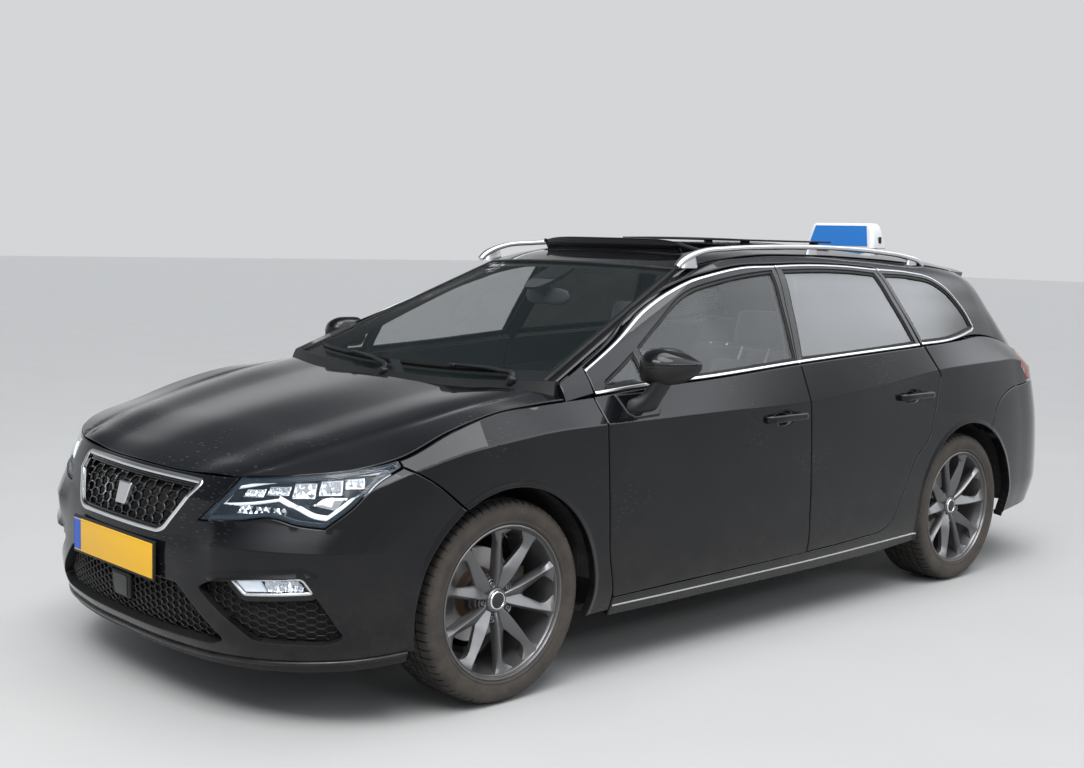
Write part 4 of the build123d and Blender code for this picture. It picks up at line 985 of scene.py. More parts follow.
def bumperShelf(u, v, p):  # the ledge below the headlamps, and the brow over the lamp pockets
    y = np.abs(p[:, 1])
    side = np.clip((y - 400) / 90, 0, 1) * np.clip((890 - y) / 130, 0, 1)
    front = np.clip((u - 380) / 120, 0, 1) * (u < 1100)
    ledge = np.where(v > 532, np.clip((604 - v) / 72, 0, 1), np.clip((v - 430) / 102, 0, 1) ** 1.5)
    top = 430 + 36 * np.clip((y - 470) / 265, 0, 1)
    brow = np.clip(1 - (v - top) / 42, 0, 1) * (v >= top - 2)
    browSpan = np.clip((y - 440) / 60, 0, 1) * np.clip((790 - y) / 50, 0, 1)
    return (15 * ledge * side * front + 13 * brow ** 2 * browSpan * front) * (p[:, 0] > 1500)


lowerSkin.reliefs.append(bumperShelf)
ledgeLines = [[(s * u, z) for u in np.arange(430, 1150, 14)] for z in (528, 532, 536) for s in (-1, 1)]
cornerLines = creaseLines(lowU(2040, 665), lowU(1640, 780))
cornerLines += [np.stack([-line[:, 0], line[:, 1]], 1) for line in cornerLines]
grilleLoop, intakeLoop, pocketLoop = (rounded(lowerSkin.find(roundCorners(outline, radius), "front"), 8) for outline,
                                      radius in
                                      ((grilleOutline, 34), (intakeOutline, 22), (pocketOutline, 16)))
pocketLoops = pocketLoop, otherSide(pocketLoop)
bumper = panel("frontBumperSkin", lowerSkin, None, [paint, trimBlack], [grilleLoop, intakeLoop, *pocketLoops],
               loops=bumperLine, depth=40, lines=ledgeLines + archGuides + cornerLines, step=17)
fit(bumper, "body", "paint", "front_bumper")

# Rear bumper and tailgate
halfRear = (columnLine(lowerSkin, sillLine, lowerSkin.half, lowU(-1575, 250), 1)
            + lowerSkin.find(archArc(rearArch, 192, 118, 12)) + lowerSkin.find(bumperTop[1:])
            + lowerSkin.find([(-1834, 836)])
            + lowerSkin.find([(617, 836), (588, 704), (560, 640), (536, 604), (420, 598)], "rear"))
rearLine = rounded(halfRear + [(lowerSkin.half, 598)] + reflected(halfRear[1:], lowerSkin.half), 10)
farGuides = [reflected(ring[::-1], lowerSkin.half) for ring in archGuides]
rear = panel("rearBumperSkin", lowerSkin, None, [paint, trimBlack], loops=rearLine, depth=40, lines=archGuides
             + farGuides)
fit(rear, "body", "paint", "rear_bumper")
lampEdge = [(612, 842), (388, 842), (372, 870), (388, 938)]
halfGate = lowerSkin.find([(420, 602), (532, 608), (556, 642), (584, 706), (612, 838)] + lampEdge[1:], "rear")
halfGate += columnLine(lowerSkin, beltLine, lowerSkin.find([(388, 938)], "rear")[0][0], lowerSkin.half, -waist)[1:-1]
gateLine = rounded(halfGate + reflected(halfGate, lowerSkin.half), 10)
gate = panel("tailgateSkin", lowerSkin, None, [paint, cabinPlastic], loops=gateLine, depth=45)
fit(gate, "tailgate", "paint", "tailgate")
gateWindow = [(-590, 990), (-562, 1060), (-458, 1268), (458, 1268), (562, 1060), (590, 990)]
gateUpper = upperSkin.find([(-2088, 638, 952), (-1958, 598, 1062), (-1878, 539, 1172), (-1768, 478, 1287)])
gateUpper += upperSkin.find([(470, 1318)], "rear")
beltTail = [(p, z + 1) for p,
            z in columnLine(upperSkin, 0, upperSkin.find([(-2088, 638, 952)])[0][0] + 10, upperSkin.half, 22)]
gateHalf = beltTail[::-1][1:] + gateUpper
gateLoop = rounded(reflected(gateHalf, upperSkin.half) + gateHalf[1:], 10)
gateHole = rounded(upperSkin.find(roundCorners(gateWindow, 30), "rear"), 10)
gateFrame = panel("tailgateFrame", upperSkin, None, [paint, cabinPlastic], [gateHole], loops=gateLoop, depth=28)
fit(gateFrame, "tailgate", "paint", "tailgate")
gateGlass = panel("tailgateGlassPane", upperSkin, None, [darkGlass], loops=gateHole, gap=-3, recess=7, depth=4.5,
                  roll=(0, 3), step=40)
fit(gateGlass, "tailgate", "dark_glass", "tailgate_glass")

# Bonnet and roof
noseEdge = lowerSkin.rowsAt(np.linspace(0, lowU(1798, 792), 40))[:, beltLine]
wingEdge = lowerSkin.rowsAt(np.linspace(lowU(1798, 792), lowU(1122, 915), 40))[:, beltLine]
halfBonnet = [(x, y) for x, y, _ in noseEdge] + [(x, y) for x, y, _ in wingEdge[1:]] + [(1122, 786), (1196, 600),
                                                                                        (1244, 350), (1262, 0)]
bonnetLine = rounded(halfBonnet + reflected(halfBonnet[1:-1], part=1), 10)
bonnetMade = panel("bonnetSkin", bonnetSkin, None, [paint, trimBlack], loops=bonnetLine, depth=18,
                   lines=[[(row[0], s * (row[2] + shift)) for row in bonnetRows[:-1]] for s in (-1, 1)
                          for shift in (-14, 0, 12)])
fit(bonnetMade, "bonnet", "paint", "bonnet")
roofHalf = [(336, 0), (330, 170), (318, 330), (300, 440), (286, 500)]
roofHalf += [(x, half - 1) for x, half, _, _ in reversed(roofRows[3:9])] + [(-1560, 528), (-1637, 508), (-1637, 0)]
roofLine = rounded(roofHalf + reflected(roofHalf[1:-1], part=1), 12)
sunroofHole = rounded(roundCorners([(-330, -380), (130, -380), (130, 380), (-330, 380)], 40), 10)
roof = panel("roofSkin", roofSkin, None, [paint, cabinPlastic], [sunroofHole], loops=roofLine, depth=24, roll=(1.5, 4))
fit(roof, "body", "paint", "roof_panel")
print("bumpers, bonnet, roof and tailgate made")


class Graph(Tree):  # a node tree that makes a mesh; its inputs are named, and set on the modifier
    def __init__(self, name, **inputs):
        self.group = bpy.data.node_groups.new(name, "GeometryNodeTree")
        self.group.is_modifier = True
        super().__init__(self.group)
        self.inputs, self.ids = inputs, {}
        sockets = self.group.interface
        sockets.new_socket("Geometry", in_out="OUTPUT", socket_type="NodeSocketGeometry")
        kinds = {int: "Int", float: "Float", bpy.types.Material: "Material", bpy.types.Object: "Object"}
        for key, value in inputs.items():
            made = sockets.new_socket(key, in_out="INPUT", socket_type="NodeSocket" + kinds[type(value)])
            self.ids[key] = made.identifier
        self.start, self.end = self.nodes.new("NodeGroupInput"), self.nodes.new("NodeGroupOutput")

    def given(self, key):
        return Value(self, self.start.outputs[key])

    def mesh(self, name, geometry):  # the tree's result as a plain object
        real = self.node("GeometryNodeRealizeInstances", Geometry=geometry)
        last = self.node("GeometryNodeSetMaterial", Geometry=real, Material=self.given("Material"))
        self.links.new(last.socket, self.end.inputs[0])
        made = added(name, bpy.data.meshes.new(name))
        modifier = made.modifiers.new("repeat", "NODES")
        modifier.node_group = self.group
        for key, value in self.inputs.items():
            modifier[self.ids[key]] = value
        return applied(made)


def around(name, piece, count, material, turn=0.0):  # copies of a piece round the axle, y
    graph = Graph(name, Piece=piece, Count=count, Turn=float(turn), Material=material)
    points = graph.node("GeometryNodeMeshLine", Count=graph.given("Count"), Offset=(0, 0, 0))
    step = graph.calc("DIVIDE", 2 * math.pi, graph.given("Count"))
    angle = graph.node("GeometryNodeInputIndex") * step + graph.given("Turn")
    ring = graph.node("GeometryNodeInstanceOnPoints", Points=points,
                      Rotation=graph.node("ShaderNodeCombineXYZ", Y=angle),
                      Instance=graph.node("GeometryNodeObjectInfo", Object=graph.given("Piece")).out("Geometry"))
    made = graph.mesh(name, ring)
    bpy.data.objects.remove(piece)
    return made


def cellField(name, wide, high, cell, material):  # a flat field of long hexagon rings, x and y in metres, walls along z
    across, up, wall, deep, soft = (value * mm for value in cell)
    graph = Graph(name, Columns=int(wide / cell[0] / 0.75) + 3, Rows=int(high / cell[1]) + 3, Cell_width=across,
                  Cell_height=up,
                  Wall=wall, Depth=deep, Corner=soft, Material=material)
    columns, rows, width, height = (graph.given(key) for key in ("Columns", "Rows", "Cell_width", "Cell_height"))
    grid = graph.node("GeometryNodeMeshGrid", Size_X=width * 0.75 * (columns - 1), Size_Y=height * (rows - 1),
                      Vertices_X=columns,
                      Vertices_Y=rows)
    column = graph.calc("FLOOR", (graph.node("GeometryNodeInputIndex") + 0.5) / rows)
    shift = graph.calc("MODULO", column, 2.0) * height * 0.5
    grid = graph.node("GeometryNodeSetPosition", Geometry=grid, Offset=graph.node("ShaderNodeCombineXYZ", Y=shift))
    ring = graph.node("GeometryNodeCurvePrimitiveCircle", Resolution=6, Radius=1.0)
    ring = graph.node("GeometryNodeTransform", Geometry=ring,
                      Scale=graph.node("ShaderNodeCombineXYZ", X=width * 0.5, Y=height * 0.5774, Z=1.0))
    ring = graph.node("GeometryNodeFilletCurve", {"mode": "POLY"}, Curve=ring, Count=3, Radius=graph.given("Corner"),
                      Limit_Radius=True)
    profile = graph.node("GeometryNodeCurvePrimitiveQuadrilateral", Width=graph.given("Wall"),
                         Height=graph.given("Depth"))
    cells = graph.node("GeometryNodeCurveToMesh", Curve=ring, Profile_Curve=profile)
    return graph.mesh(name, graph.node("GeometryNodeInstanceOnPoints", Points=grid, Instance=cells))


def honeycomb(name, skin, loop, cell, recess, material):  # the field cut to a loop and bent onto a skin
    low, high = loop.min(0), loop.max(0)
    made = cellField(name, high[0] - low[0], high[1] - low[1], cell, material)
    shape = bmesh.new()
    shape.from_mesh(made.data)
    shape.verts.ensure_lookup_table()
    flat = np.array([tuple(vert.co) for vert in shape.verts]) / mm
    place = flat[:, :2] + (low + high) / 2
    inside = insideOf(place, loop)
    _, normal = skin.faced(place[:, 0], place[:, 1])
    bent = (skin.at(place[:, 0], place[:, 1], recess) + normal * flat[:, 2:3]) * mm
    for vert in shape.verts:
        vert.co = bent[vert.index]
    gone = [face for face in shape.faces if not all(inside[vert.index] for vert in face.verts)]
    bmesh.ops.delete(shape, geom=gone, context="FACES")
    bmesh.ops.recalc_face_normals(shape, faces=shape.faces)
    shape.to_mesh(made.data)
    shape.free()
    return made


def walls(name, skin, loop, top, bottom, material):  # a thin wall going in from a loop on a skin
    out = inset(loop, -1.5)
    rings = [skin.at(*line.T, recess) for line, recess in ((loop, top), (loop, bottom), (out, bottom), (out, top))]
    return sharpen(sheet(name, rings, [material], closedU=True, closedV=True), 40)


def plate(name, skin, loop, material, recess, depth=3.0, **settings):
    return panel(name, skin, None, [material], loops=loop, recess=recess, depth=depth,
                 **dict({"gap": 0.0, "roll": (0.6, 1.5)}, **settings))


def ringOn(name, skin, loop, outside, inside, material, recess, depth, roll=(1.5, 3)):  # a frame that follows a loop
    return panel(name, skin, None, [material], [inset(loop, inside)], loops=inset(loop, -outside), gap=0.0,
                 recess=recess,
                 depth=depth, roll=roll, step=200)


# Grille, intake and side pockets
meshLook = {"grille": (62.0, 29.0, 4.0, 9.0, 7.0), "intake": (40.0, 24.0, 4.0, 8.0, 4.0),
            "pocket": (40.0, 22.0, 3.0, 6.0, 4.0)}
grilleParts = [
    ringOn("grilleChrome", lowerSkin, grilleLoop, 3, 11, chrome, -4, 26, (3, 5)),
    ringOn("grilleInnerFrame", lowerSkin, inset(grilleLoop, 11.5), 0, 9, glossBlack, 5, 24),
    honeycomb("grilleCells", lowerSkin, inset(grilleLoop, 14), meshLook["grille"], 16, glossBlack),
    plate("grilleBack", lowerSkin, inset(grilleLoop, -2), liningBlack, 34),
]
badge = lowerSkin.find([(-38, 652), (38, 652), (30, 586), (-30, 586)], "front")
grilleParts.append(plate("grilleBadge", lowerSkin, rounded(badge, 6), satinSilver, -1, 14, roll=(3, 6)))
intakeParts = [
    walls("intakeWall", lowerSkin, intakeLoop, 1, 46, trimBlack),
    honeycomb("intakeCells", lowerSkin, inset(intakeLoop, 1), meshLook["intake"], 32, trimBlack),
    plate("intakeBack", lowerSkin, inset(intakeLoop, -1), liningBlack, 46),
    plate("sensorBlock", lowerSkin, rounded(roundCorners([(-62, 372), (62, 372), (54, 284), (-54, 284)], 14), 6),
          trimBlack, 18, 24,
          roll=(5, 9)),
    plate("sensorCover", lowerSkin, rounded(roundCorners([(-46, 362), (46, 362), (40, 294), (-40, 294)], 10), 6),
          glossBlack, 16, 4),
]
for loop in pocketLoops:
    intakeParts += [walls("pocketWall", lowerSkin, loop, 1, 34, trimBlack),
                    honeycomb("pocketCells", lowerSkin, inset(loop, 1), meshLook["pocket"], 26, trimBlack),
                    plate("pocketBack", lowerSkin, inset(loop, -1), liningBlack, 34)]
fit(joined("frontMeshes", grilleParts + intakeParts), "body", "grille_black", "grilles")
lipEnd = lowU(1788, 230)
lipLine = np.array([(u, 198 + 30 * (abs(u) / lipEnd) ** 3) for u in np.linspace(-lipEnd, lipEnd, 150)])
lip = panel("splitterLip", lowerSkin, None, [paint], loops=band(lipLine, 13), gap=0, recess=-9, depth=14, roll=(4, 6),
            step=200)
underLip = panel("splitterUnderside", lowerSkin, None, [trimBlack], loops=band(lipLine - (0, 17), 20), gap=0, recess=-2,
                 depth=5, roll=(1, 3), step=200)
fit(joined("splitter", [lip, underLip]), "body", "trim_black")

# Number plates, bare
plateYellow = plasticFinish("reflectiveYellow", (0.83, 0.46, 0.02), 0.32, 2600, 0.12, 0.12)
plateBlue = plasticFinish("plateBlueBand", (0.03, 0.11, 0.5), 0.32, 2600, 0.12, 0.12)
signWhite = plasticFinish("signWhite", (0.8, 0.81, 0.82), 0.3, 1400, 0.06, 0.12)


def roundedBox(name, centre, size, radius, material, segments=4):
    shape = bmesh.new()
    bmesh.ops.create_cube(shape, size=1)
    for vert in shape.verts:
        vert.co = [(c + v * s) * mm for c, v, s in zip(centre, vert.co, size)]
    made = added(name, bpy.data.meshes.new(name))
    shape.to_mesh(made.data)
    shape.free()
    made.data.materials.append(material)
    return sharpen(finishMods(made, radius, segments, 30), 35)


def flatPlate(name, x, middleZ, turn):  # a pressed plate with a blue end in its holder; turn is 1 in front, -1 behind
    parts = [roundedBox(name + "Holder", (x, 0, middleZ), (9, 530, 122), 3, trimBlack),
             roundedBox(name + "Face", (x + turn * 4.5, turn * 22, middleZ), (4, 470, 106), 1.6, plateYellow),
             roundedBox(name + "Band", (x + turn * 4.5, turn * -238, middleZ), (4, 45, 106), 1.6, plateBlue)]
    for y, high, wide, z in ((0, 3, 512, 50), (0, 3, 512, -50), (-257, 97, 3, 0), (257, 97, 3, 0)):
        parts.append(roundedBox(name + "Rim", (x + turn * 6.6, y, middleZ + z), (1.6, wide, high), 0.6,
                                plateYellow if turn * y >= 0 else plateBlue, 2))
    return joined(name, parts)


fit(flatPlate("frontPlateFace", 2265.5, 451.5, 1), "body", "plate_yellow", "front_plate")
print("front end made")

# Headlamps. Places are u, v on the lower skin
drlFinish = Finish("lightGuide", Roughness=0.25, Emission_Strength=0.55)
drlFinish.set(Base_Color=drlFinish.mix(drlFinish.noise(40) * 0.2, (0.86, 0.89, 0.93), (0.7, 0.74, 0.8)),
              Emission_Color=drlFinish.mix(drlFinish.noise(30), (0.75, 0.83, 0.95), (0.62, 0.72, 0.86)))
drl = drlFinish.material
lampDark = paintFinish("lampHousing", (0.012, 0.022, 0.035), 0.1)
reflector = metalFinish("reflectorChrome", (0.86, 0.89, 0.93), 0.1, 0.02)

lampTop = columnLine(lowerSkin, beltLine, lowerSkin.find([(510, 716)], "front")[0][0], lowU(1798, 792), -waist)
lampLoop = rounded(lampTop + lowerSkin.find([(1800, 772)]) + lowerSkin.find(lampLower[::-1] + [(480, 676)], "front"), 8)
lightLine = [(495, 653), (532, 701), (679, 728), (856, 750), (1050, 766), (979, 716), (911, 674), (850, 629),
             (801, 641), (697, 680), (605, 665)]
lightLoop = rounded(lightLine, 6, 25)
lightV = smoothLine([(697, 684), (760, 660), (812, 638), (850, 633)],
                    6), smoothLine([(850, 633), (911, 678), (979, 720), (1040, 761)], 6)


def facets(name, loop, recess, size=(15, 13), deep=9, material=reflector, seed=3):  # a sparkling field of small mirrors
    low, high, centre = loop.min(0), loop.max(0), loop.mean(0)
    rows, columns = max(2, int((high[1] - low[1]) / size[1])), max(2, int((high[0] - low[0]) / size[0]))
    random = np.random.default_rng(seed)
    verts, faces = [], []
    for i in range(rows + 1):
        for j in range(columns + 1):
            u, v = low[0] + (high[0] - low[0]) * j / columns, low[1] + (high[1] - low[1]) * i / rows
            if not insideOf(np.array([[u, v]]), loop)[0]:
                near = edgeDistance(np.array([[u, v]]), [(loop, 1)])[0][0]
                pull = (centre - (u, v)) / max(np.linalg.norm(centre - (u, v)), 1e-6)
                u, v = (u, v) + pull * near
            verts.append(lowerSkin.at([u], [v], recess + deep * ((i + j) % 2) + random.uniform(-2.5, 2.5))[0])
    for i in range(rows):
        for j in range(columns):
            a = i * (columns + 1) + j
            b, c, d = a + 1, a + columns + 2, a + columns + 1
            faces += [(a, b, c), (a, c, d)] if (i + j) % 2 else [(a, b, d), (b, c, d)]
    return finishMods(newObject(name, verts, faces, [material], None, False), thick=1.2)


def lampSet(turn):  # turn carries a loop to the lamp's side of the car
    parts = [
        walls("lampWall", lowerSkin, turn(inset(lampLoop, 3)), 3, 58, lampDark),
        plate("lampFloor", lowerSkin, turn(inset(lampLoop, 2)), lampDark, 56, 3, lines=[], step=24),
        panel("lightGuide", lowerSkin, None, [drl], [turn(inset(lightLoop, 3.2))], loops=turn(inset(lightLoop, -3.2)),
              gap=0, recess=10,
              depth=7, roll=(1.5, 2.2), step=200),
        panel("lampBezel", lowerSkin, None, [lampDark], [turn(inset(lampLoop, 15))], loops=turn(inset(lampLoop, 2.5)),
              gap=0, recess=6,
              depth=5, roll=(1.5, 3), step=200),
    ]
    parts += [plate("lightGuideWide", lowerSkin, turn(band(line, 15)), drl, 8, 8, roll=(2, 5)) for line in lightV]
    for index, (u0, u1, vLow,
                vHigh) in enumerate(((565, 640, 684, 704), (650, 728, 694, 716), (738, 812, 690, 730),
                                     (822, 892, 702, 740),
                                     (902, 962, 722, 748))):
        loop = rounded([(u0, vLow), (u1 - 6, vLow + 3), (u1, vHigh), (u0 + 8, vHigh - 4)], 8)
        parts.append(facets("module%d" % index, turn(loop), 24, seed=index))
        parts.append(ringOn("moduleRim", lowerSkin, turn(loop), 2.5, 1, reflector, 18, 16))
    for index, (u0, u1) in enumerate(((545, 600), (606, 662), (668, 716))):
        loop = rounded([(u0, 632), (u1, 634), (u1 - 4, 656), (u0 + 4, 652)], 8)
        parts.append(facets("lowModule%d" % index, turn(loop), 26, (11, 10), 8, seed=index + 9))
    parts.append(plate("lampWedge", lowerSkin, turn(rounded([(800, 668), (830, 690), (905, 697), (868, 655)], 8)),
                       reflector, 20, 10))
    return parts


lens = [plate("lampLens", lowerSkin, turn(lampLoop), lampGlass, 1.0, 3.0, gap=2.6, roll=(1.2, 4), step=26)
        for turn in (np.asarray, otherSide)]
fit(joined("headlampLenses", lens), "body", "lamp_clear", "headlamps")
fit(joined("headlampInsides", lampSet(np.asarray) + lampSet(otherSide)), "body", "lamp_clear", "headlamps")

fogLoop = rounded(roundCorners([(555, 441), (776, 459), (808, 418), (600, 401)], 10), 6)


def fogSet(turn):
    loop = turn(fogLoop)
    inner = rounded([(572, 436), (648, 442), (668, 414), (602, 409)], 6)
    outer = rounded([(656, 442), (764, 451), (786, 422), (674, 414)], 6)
    return [ringOn("fogRim", lowerSkin, loop, 4, 4, satinSilver, 7, 12),
            ringOn("fogBezel", lowerSkin, loop, 20, -4, trimBlack, 9, 18),
            plate("fogFloor", lowerSkin, loop, lampDark, 30),
            plate("fogBlock", lowerSkin, turn(inner), drl, 12, 10, roll=(2, 4)),
            facets("fogFacets", turn(outer), 14, (7, 34), 7, seed=5)]


fogLens = [plate("fogLens", lowerSkin, inset(turn(fogLoop), 3), lampGlass, 6.5, 2.5)
           for turn in (np.asarray, otherSide)]
fit(joined("fogLampLenses", fogLens), "body", "lamp_clear", "fog_lamps")
fit(joined("fogLampInsides", fogSet(np.asarray) + fogSet(otherSide)), "body", "lamp_clear", "fog_lamps")
print("lamps made")

# Wheels and tyres, made about the axle's middle and then put in place


def lathe(name, profile, materials, count=96, angle=30, marks=None):  # radius, y points turned round the axle
    p = np.asarray(profile, float)
    rings = [np.stack([p[:, 0] * math.sin(a), p[:, 1], p[:, 0] * math.cos(a)], 1)
             for a in np.radians(np.linspace(0, 360, count, endpoint=False))]
    return sharpen(sheet(name, rings, materials, closedU=True, closedV=True, marks=marks), angle)


def placed(made, centre, degrees=0.0, axis="Z"):  # the piece turned about its middle and put in place
    made.data.transform(Matrix.Translation(Vector(centre) * mm) @ Matrix.Rotation(math.radians(degrees), 4, axis))
    return made


def wheelRadius(it):  # the distance from the nearest axle, in metres, for materials of both axles
    along = it.calc("ABSOLUTE", it.axis("X") - 0.098) - 1.318
    upward = it.axis("Z") - 0.318
    return it.calc("SQRT", along * along + upward * upward), it.calc("ARCTAN2", upward, along)


tyreLook = {"blocks": 68, "sidewallDust": 0.62, "blockShare": 0.84, "radius": 312}


def tyreFinish():
    it = Finish("tyreRubber", Specular_IOR_Level=0.35)
    radius, angle = wheelRadius(it)
    side = it.between(radius, 0.3125, 0.303)
    ribs = it.calc("SINE", radius * 2400) * 0.5 + 0.5
    ticks = it.calc("SINE", angle * 260) * 0.5 + 0.5
    ticked = it.between(radius, 0.274, 0.278) * it.between(radius, 0.296, 0.292)
    cloudy = it.between(it.noise(14, 8, 0.7), 0.3, 0.75)
    dust = side * (0.35 + cloudy * 0.65) * tyreLook["sidewallDust"] + (1 - side) * cloudy * 0.3
    dust = dust * (0.8 + ribs * ticked * 0.3)
    it.set(Base_Color=it.mix(dust, (0.012, 0.012, 0.012), (0.125, 0.103, 0.082)))
    it.set(Roughness=0.6 + dust * 0.35)
    height = ticks * ticked * 0.7 + ribs * 0.25 + it.noise(120, 4, 0.6) * 0.5
    it.set(Normal=it.bump(height, 0.35, 0.0009))
    return it.material


def wheelFinish():
    it = Finish("satinWheelPaint", Metallic=0.6, Coat_Weight=0.35, Coat_Roughness=0.12)
    radius, _ = wheelRadius(it)
    dirt = it.between(it.noise(11, 8, 0.72), 0.4, 0.8) * (0.25 + it.between(radius, 0.13, 0.23) * 0.35)
    fleck = it.cells(1600)
    it.set(Base_Color=it.mix(dirt * 0.6, (0.125, 0.125, 0.128), (0.1, 0.083, 0.066)))
    it.set(Roughness=0.27 + fleck * 0.05 + dirt * 0.4, Normal=it.bump(it.noise(300, 3), 0.05, 0.0004))
    return it.material


def discFinish():
    it = Finish("turnedDiscSteel", Metallic=1.0)
    radius, _ = wheelRadius(it)
    grooves = it.calc("SINE", radius * 5200 + it.noise(3) * 5) * 0.5 + 0.5
    rust = it.between(radius, 0.152, 0.149) * it.between(radius, 0.082, 0.092)
    stain = it.between(it.noise(16, 7, 0.7), 0.35, 0.75)
    it.set(Base_Color=it.mix(rust, it.mix(stain, (0.16, 0.09, 0.05), (0.1, 0.09, 0.08)), (0.42, 0.41, 0.4)))
    it.set(Metallic=0.35 + rust * 0.65, Roughness=0.62 - rust * 0.32 + grooves * 0.08)
    it.set(Normal=it.bump(grooves, 0.2, 0.0003))
    return it.material


tyreRubber, wheelPaint, turnedSteel = tyreFinish(), wheelFinish(), discFinish()
boltSteel = metalFinish("wheelBoltSteel", (0.2, 0.2, 0.2), 0.3, 0.4)
capBlack = plasticFinish("wheelCapPlastic", (0.02, 0.02, 0.021), 0.35, 1500, 0.1, 0.2)

tyreOutside = [(229, 86), (229, 97), (240.5, 97.5), (243, 104), (247, 107.5), (251, 108.6), (254, 107.4), (262, 110),
               (272, 112.3),
               (282, 112), (292, 109.8), (297, 107.6), (298.5, 108), (300.5, 106.2), (303, 104), (306, 99),
               (309.5, 92), (311, 82),
               (311.6, 60), (312, 30)]
tyreInside = [(300, 0), (298, 60), (292, 84), (262, 99), (246, 92)]
spokeLook = {"pairs": 5, "turn": {"front_left": -88, "front_right": 60, "rear_left": -70, "rear_right": 20}}
# A spoke's stations: radius, then an angle and height each for its ridge, outer edge and inner edge, and its back
spokeStations = [
    (32, 18, 60, 27, 56, -3, 55, 32), (46, 20, 68, 27, 58, -2.5, 57, 34), (64, 20.5, 74, 26.5, 62, -2, 58, 36),
    (85, 20.3, 80, 25.2, 67, -1.5, 59, 42), (103, 20, 83.5, 24.2, 69, -0.6, 61, 46),
                 (116, 19.9, 85, 23.8, 70, 4, 63, 48),
    (132, 19.8, 86.7, 23.4, 71, 7, 66, 50), (155, 19.6, 88.5, 22.7, 73, 10.4, 70, 53),
                 (178, 19.3, 90, 21.9, 75, 12.8, 73, 55),
    (194, 19.2, 91.5, 21.7, 77, 12.9, 75, 56), (206, 19, 93, 22, 79, 11, 78, 57), (217, 19, 94, 23, 82, 7.6, 81, 58),
    (228, 19, 95.5, 24.5, 86, 4.2, 85, 59),
]
rimProfile = [(241, 97), (241.8, 101), (241, 104.2), (238.5, 105.6), (235.5, 104.6), (233.6, 101.2), (232.6, 97.5),
              (229, 95.6),
              (226.5, 92), (224.5, 84), (220, 66), (214.5, 44), (212, 20), (212, -60), (219, -94), (226, -103),
              (238, -105.5),
              (241, -103), (240.5, -97), (229, -94), (220.5, -62), (220.5, 58), (228.5, 84), (229.5, 96)]


def treadPiece(name, profile, share, slant, steps=3):  # one block of the tread, radius, y points across it
    width = 2 * math.pi / tyreLook["blocks"] * share
    p = np.asarray(profile, float)
    rings = []
    for f in np.linspace(-0.5, 0.5, steps):
        angle = width * f + slant * (p[:, 1] - p[:, 1].mean()) / tyreLook["radius"]
        rings.append(np.stack([p[:, 0] * np.sin(angle), p[:, 1], p[:, 0] * np.cos(angle)], 1))
    return sheet(name, rings, [tyreRubber], closedV=True, caps=True, smooth=False)


def wholeTyre(name):
    side = tyreOutside + [(312, 0)]
    profile = tyreInside[::-1] + side + [(r, -y) for r, y in reversed(side[:-1])] + [(r, -y) for r, y in tyreInside[1:]]
    parts = [lathe(name + "Carcass", profile, [tyreRubber], 128, 28)]
    shoulder = [(308, 66), (317.4, 66), (316.8, 78), (314.8, 88), (311.6, 96), (307, 102), (301.5, 106.2), (299, 104)]
    for sign in (1, -1):
        profile = [(r, y * sign) for r, y in shoulder]
        parts.append(around(name + "Shoulder", treadPiece("block", profile, tyreLook["blockShare"], 0.12 * sign),
                            tyreLook["blocks"], tyreRubber))
        for low, high, slant in ((7, 27, 0.35), (34, 59, 0.55)):
            profile = [(309, low * sign), (318, (low + 0.8) * sign), (318 - high * 0.011, (high - 0.8) * sign),
                       (309, high * sign)]
            parts.append(around(name + "Rib", treadPiece("block", profile, 0.88, slant * sign, 2), tyreLook["blocks"],
                                tyreRubber, 0.02 * high))
    return joined(name, parts)


def spokePair(name):
    halves = []
    for sign in (1, -1):
        rings = []
        for radius, ridge, ridgeY, outer, outerY, innerAngle, innerY, back in spokeStations:
            slim = math.degrees(1.1 / radius)
            section = [(outer, back), (outer + slim, outerY - 7), (outer, outerY), (ridge + slim, ridgeY - 0.5),
                       (ridge - slim, ridgeY - 0.3),
                       (innerAngle + (ridge - innerAngle) * 0.32, innerY + (ridgeY - innerY) * 0.26),
                       (innerAngle, innerY),
                       (innerAngle + slim * (radius > 110), innerY - 5), (innerAngle + slim * 2 * (radius > 110), back)]
            rings.append([(radius * math.sin(math.radians(a) * sign), y, radius * math.cos(math.radians(a))) for a,
                          y in section])
        half = sheet(name + "Arm", rings, [wheelPaint], closedV=True, caps=True)
        finishMods(half, 0.9, segments=2, limit=22)
        halves.append(sharpen(half, 24))
    return joined(name, halves)


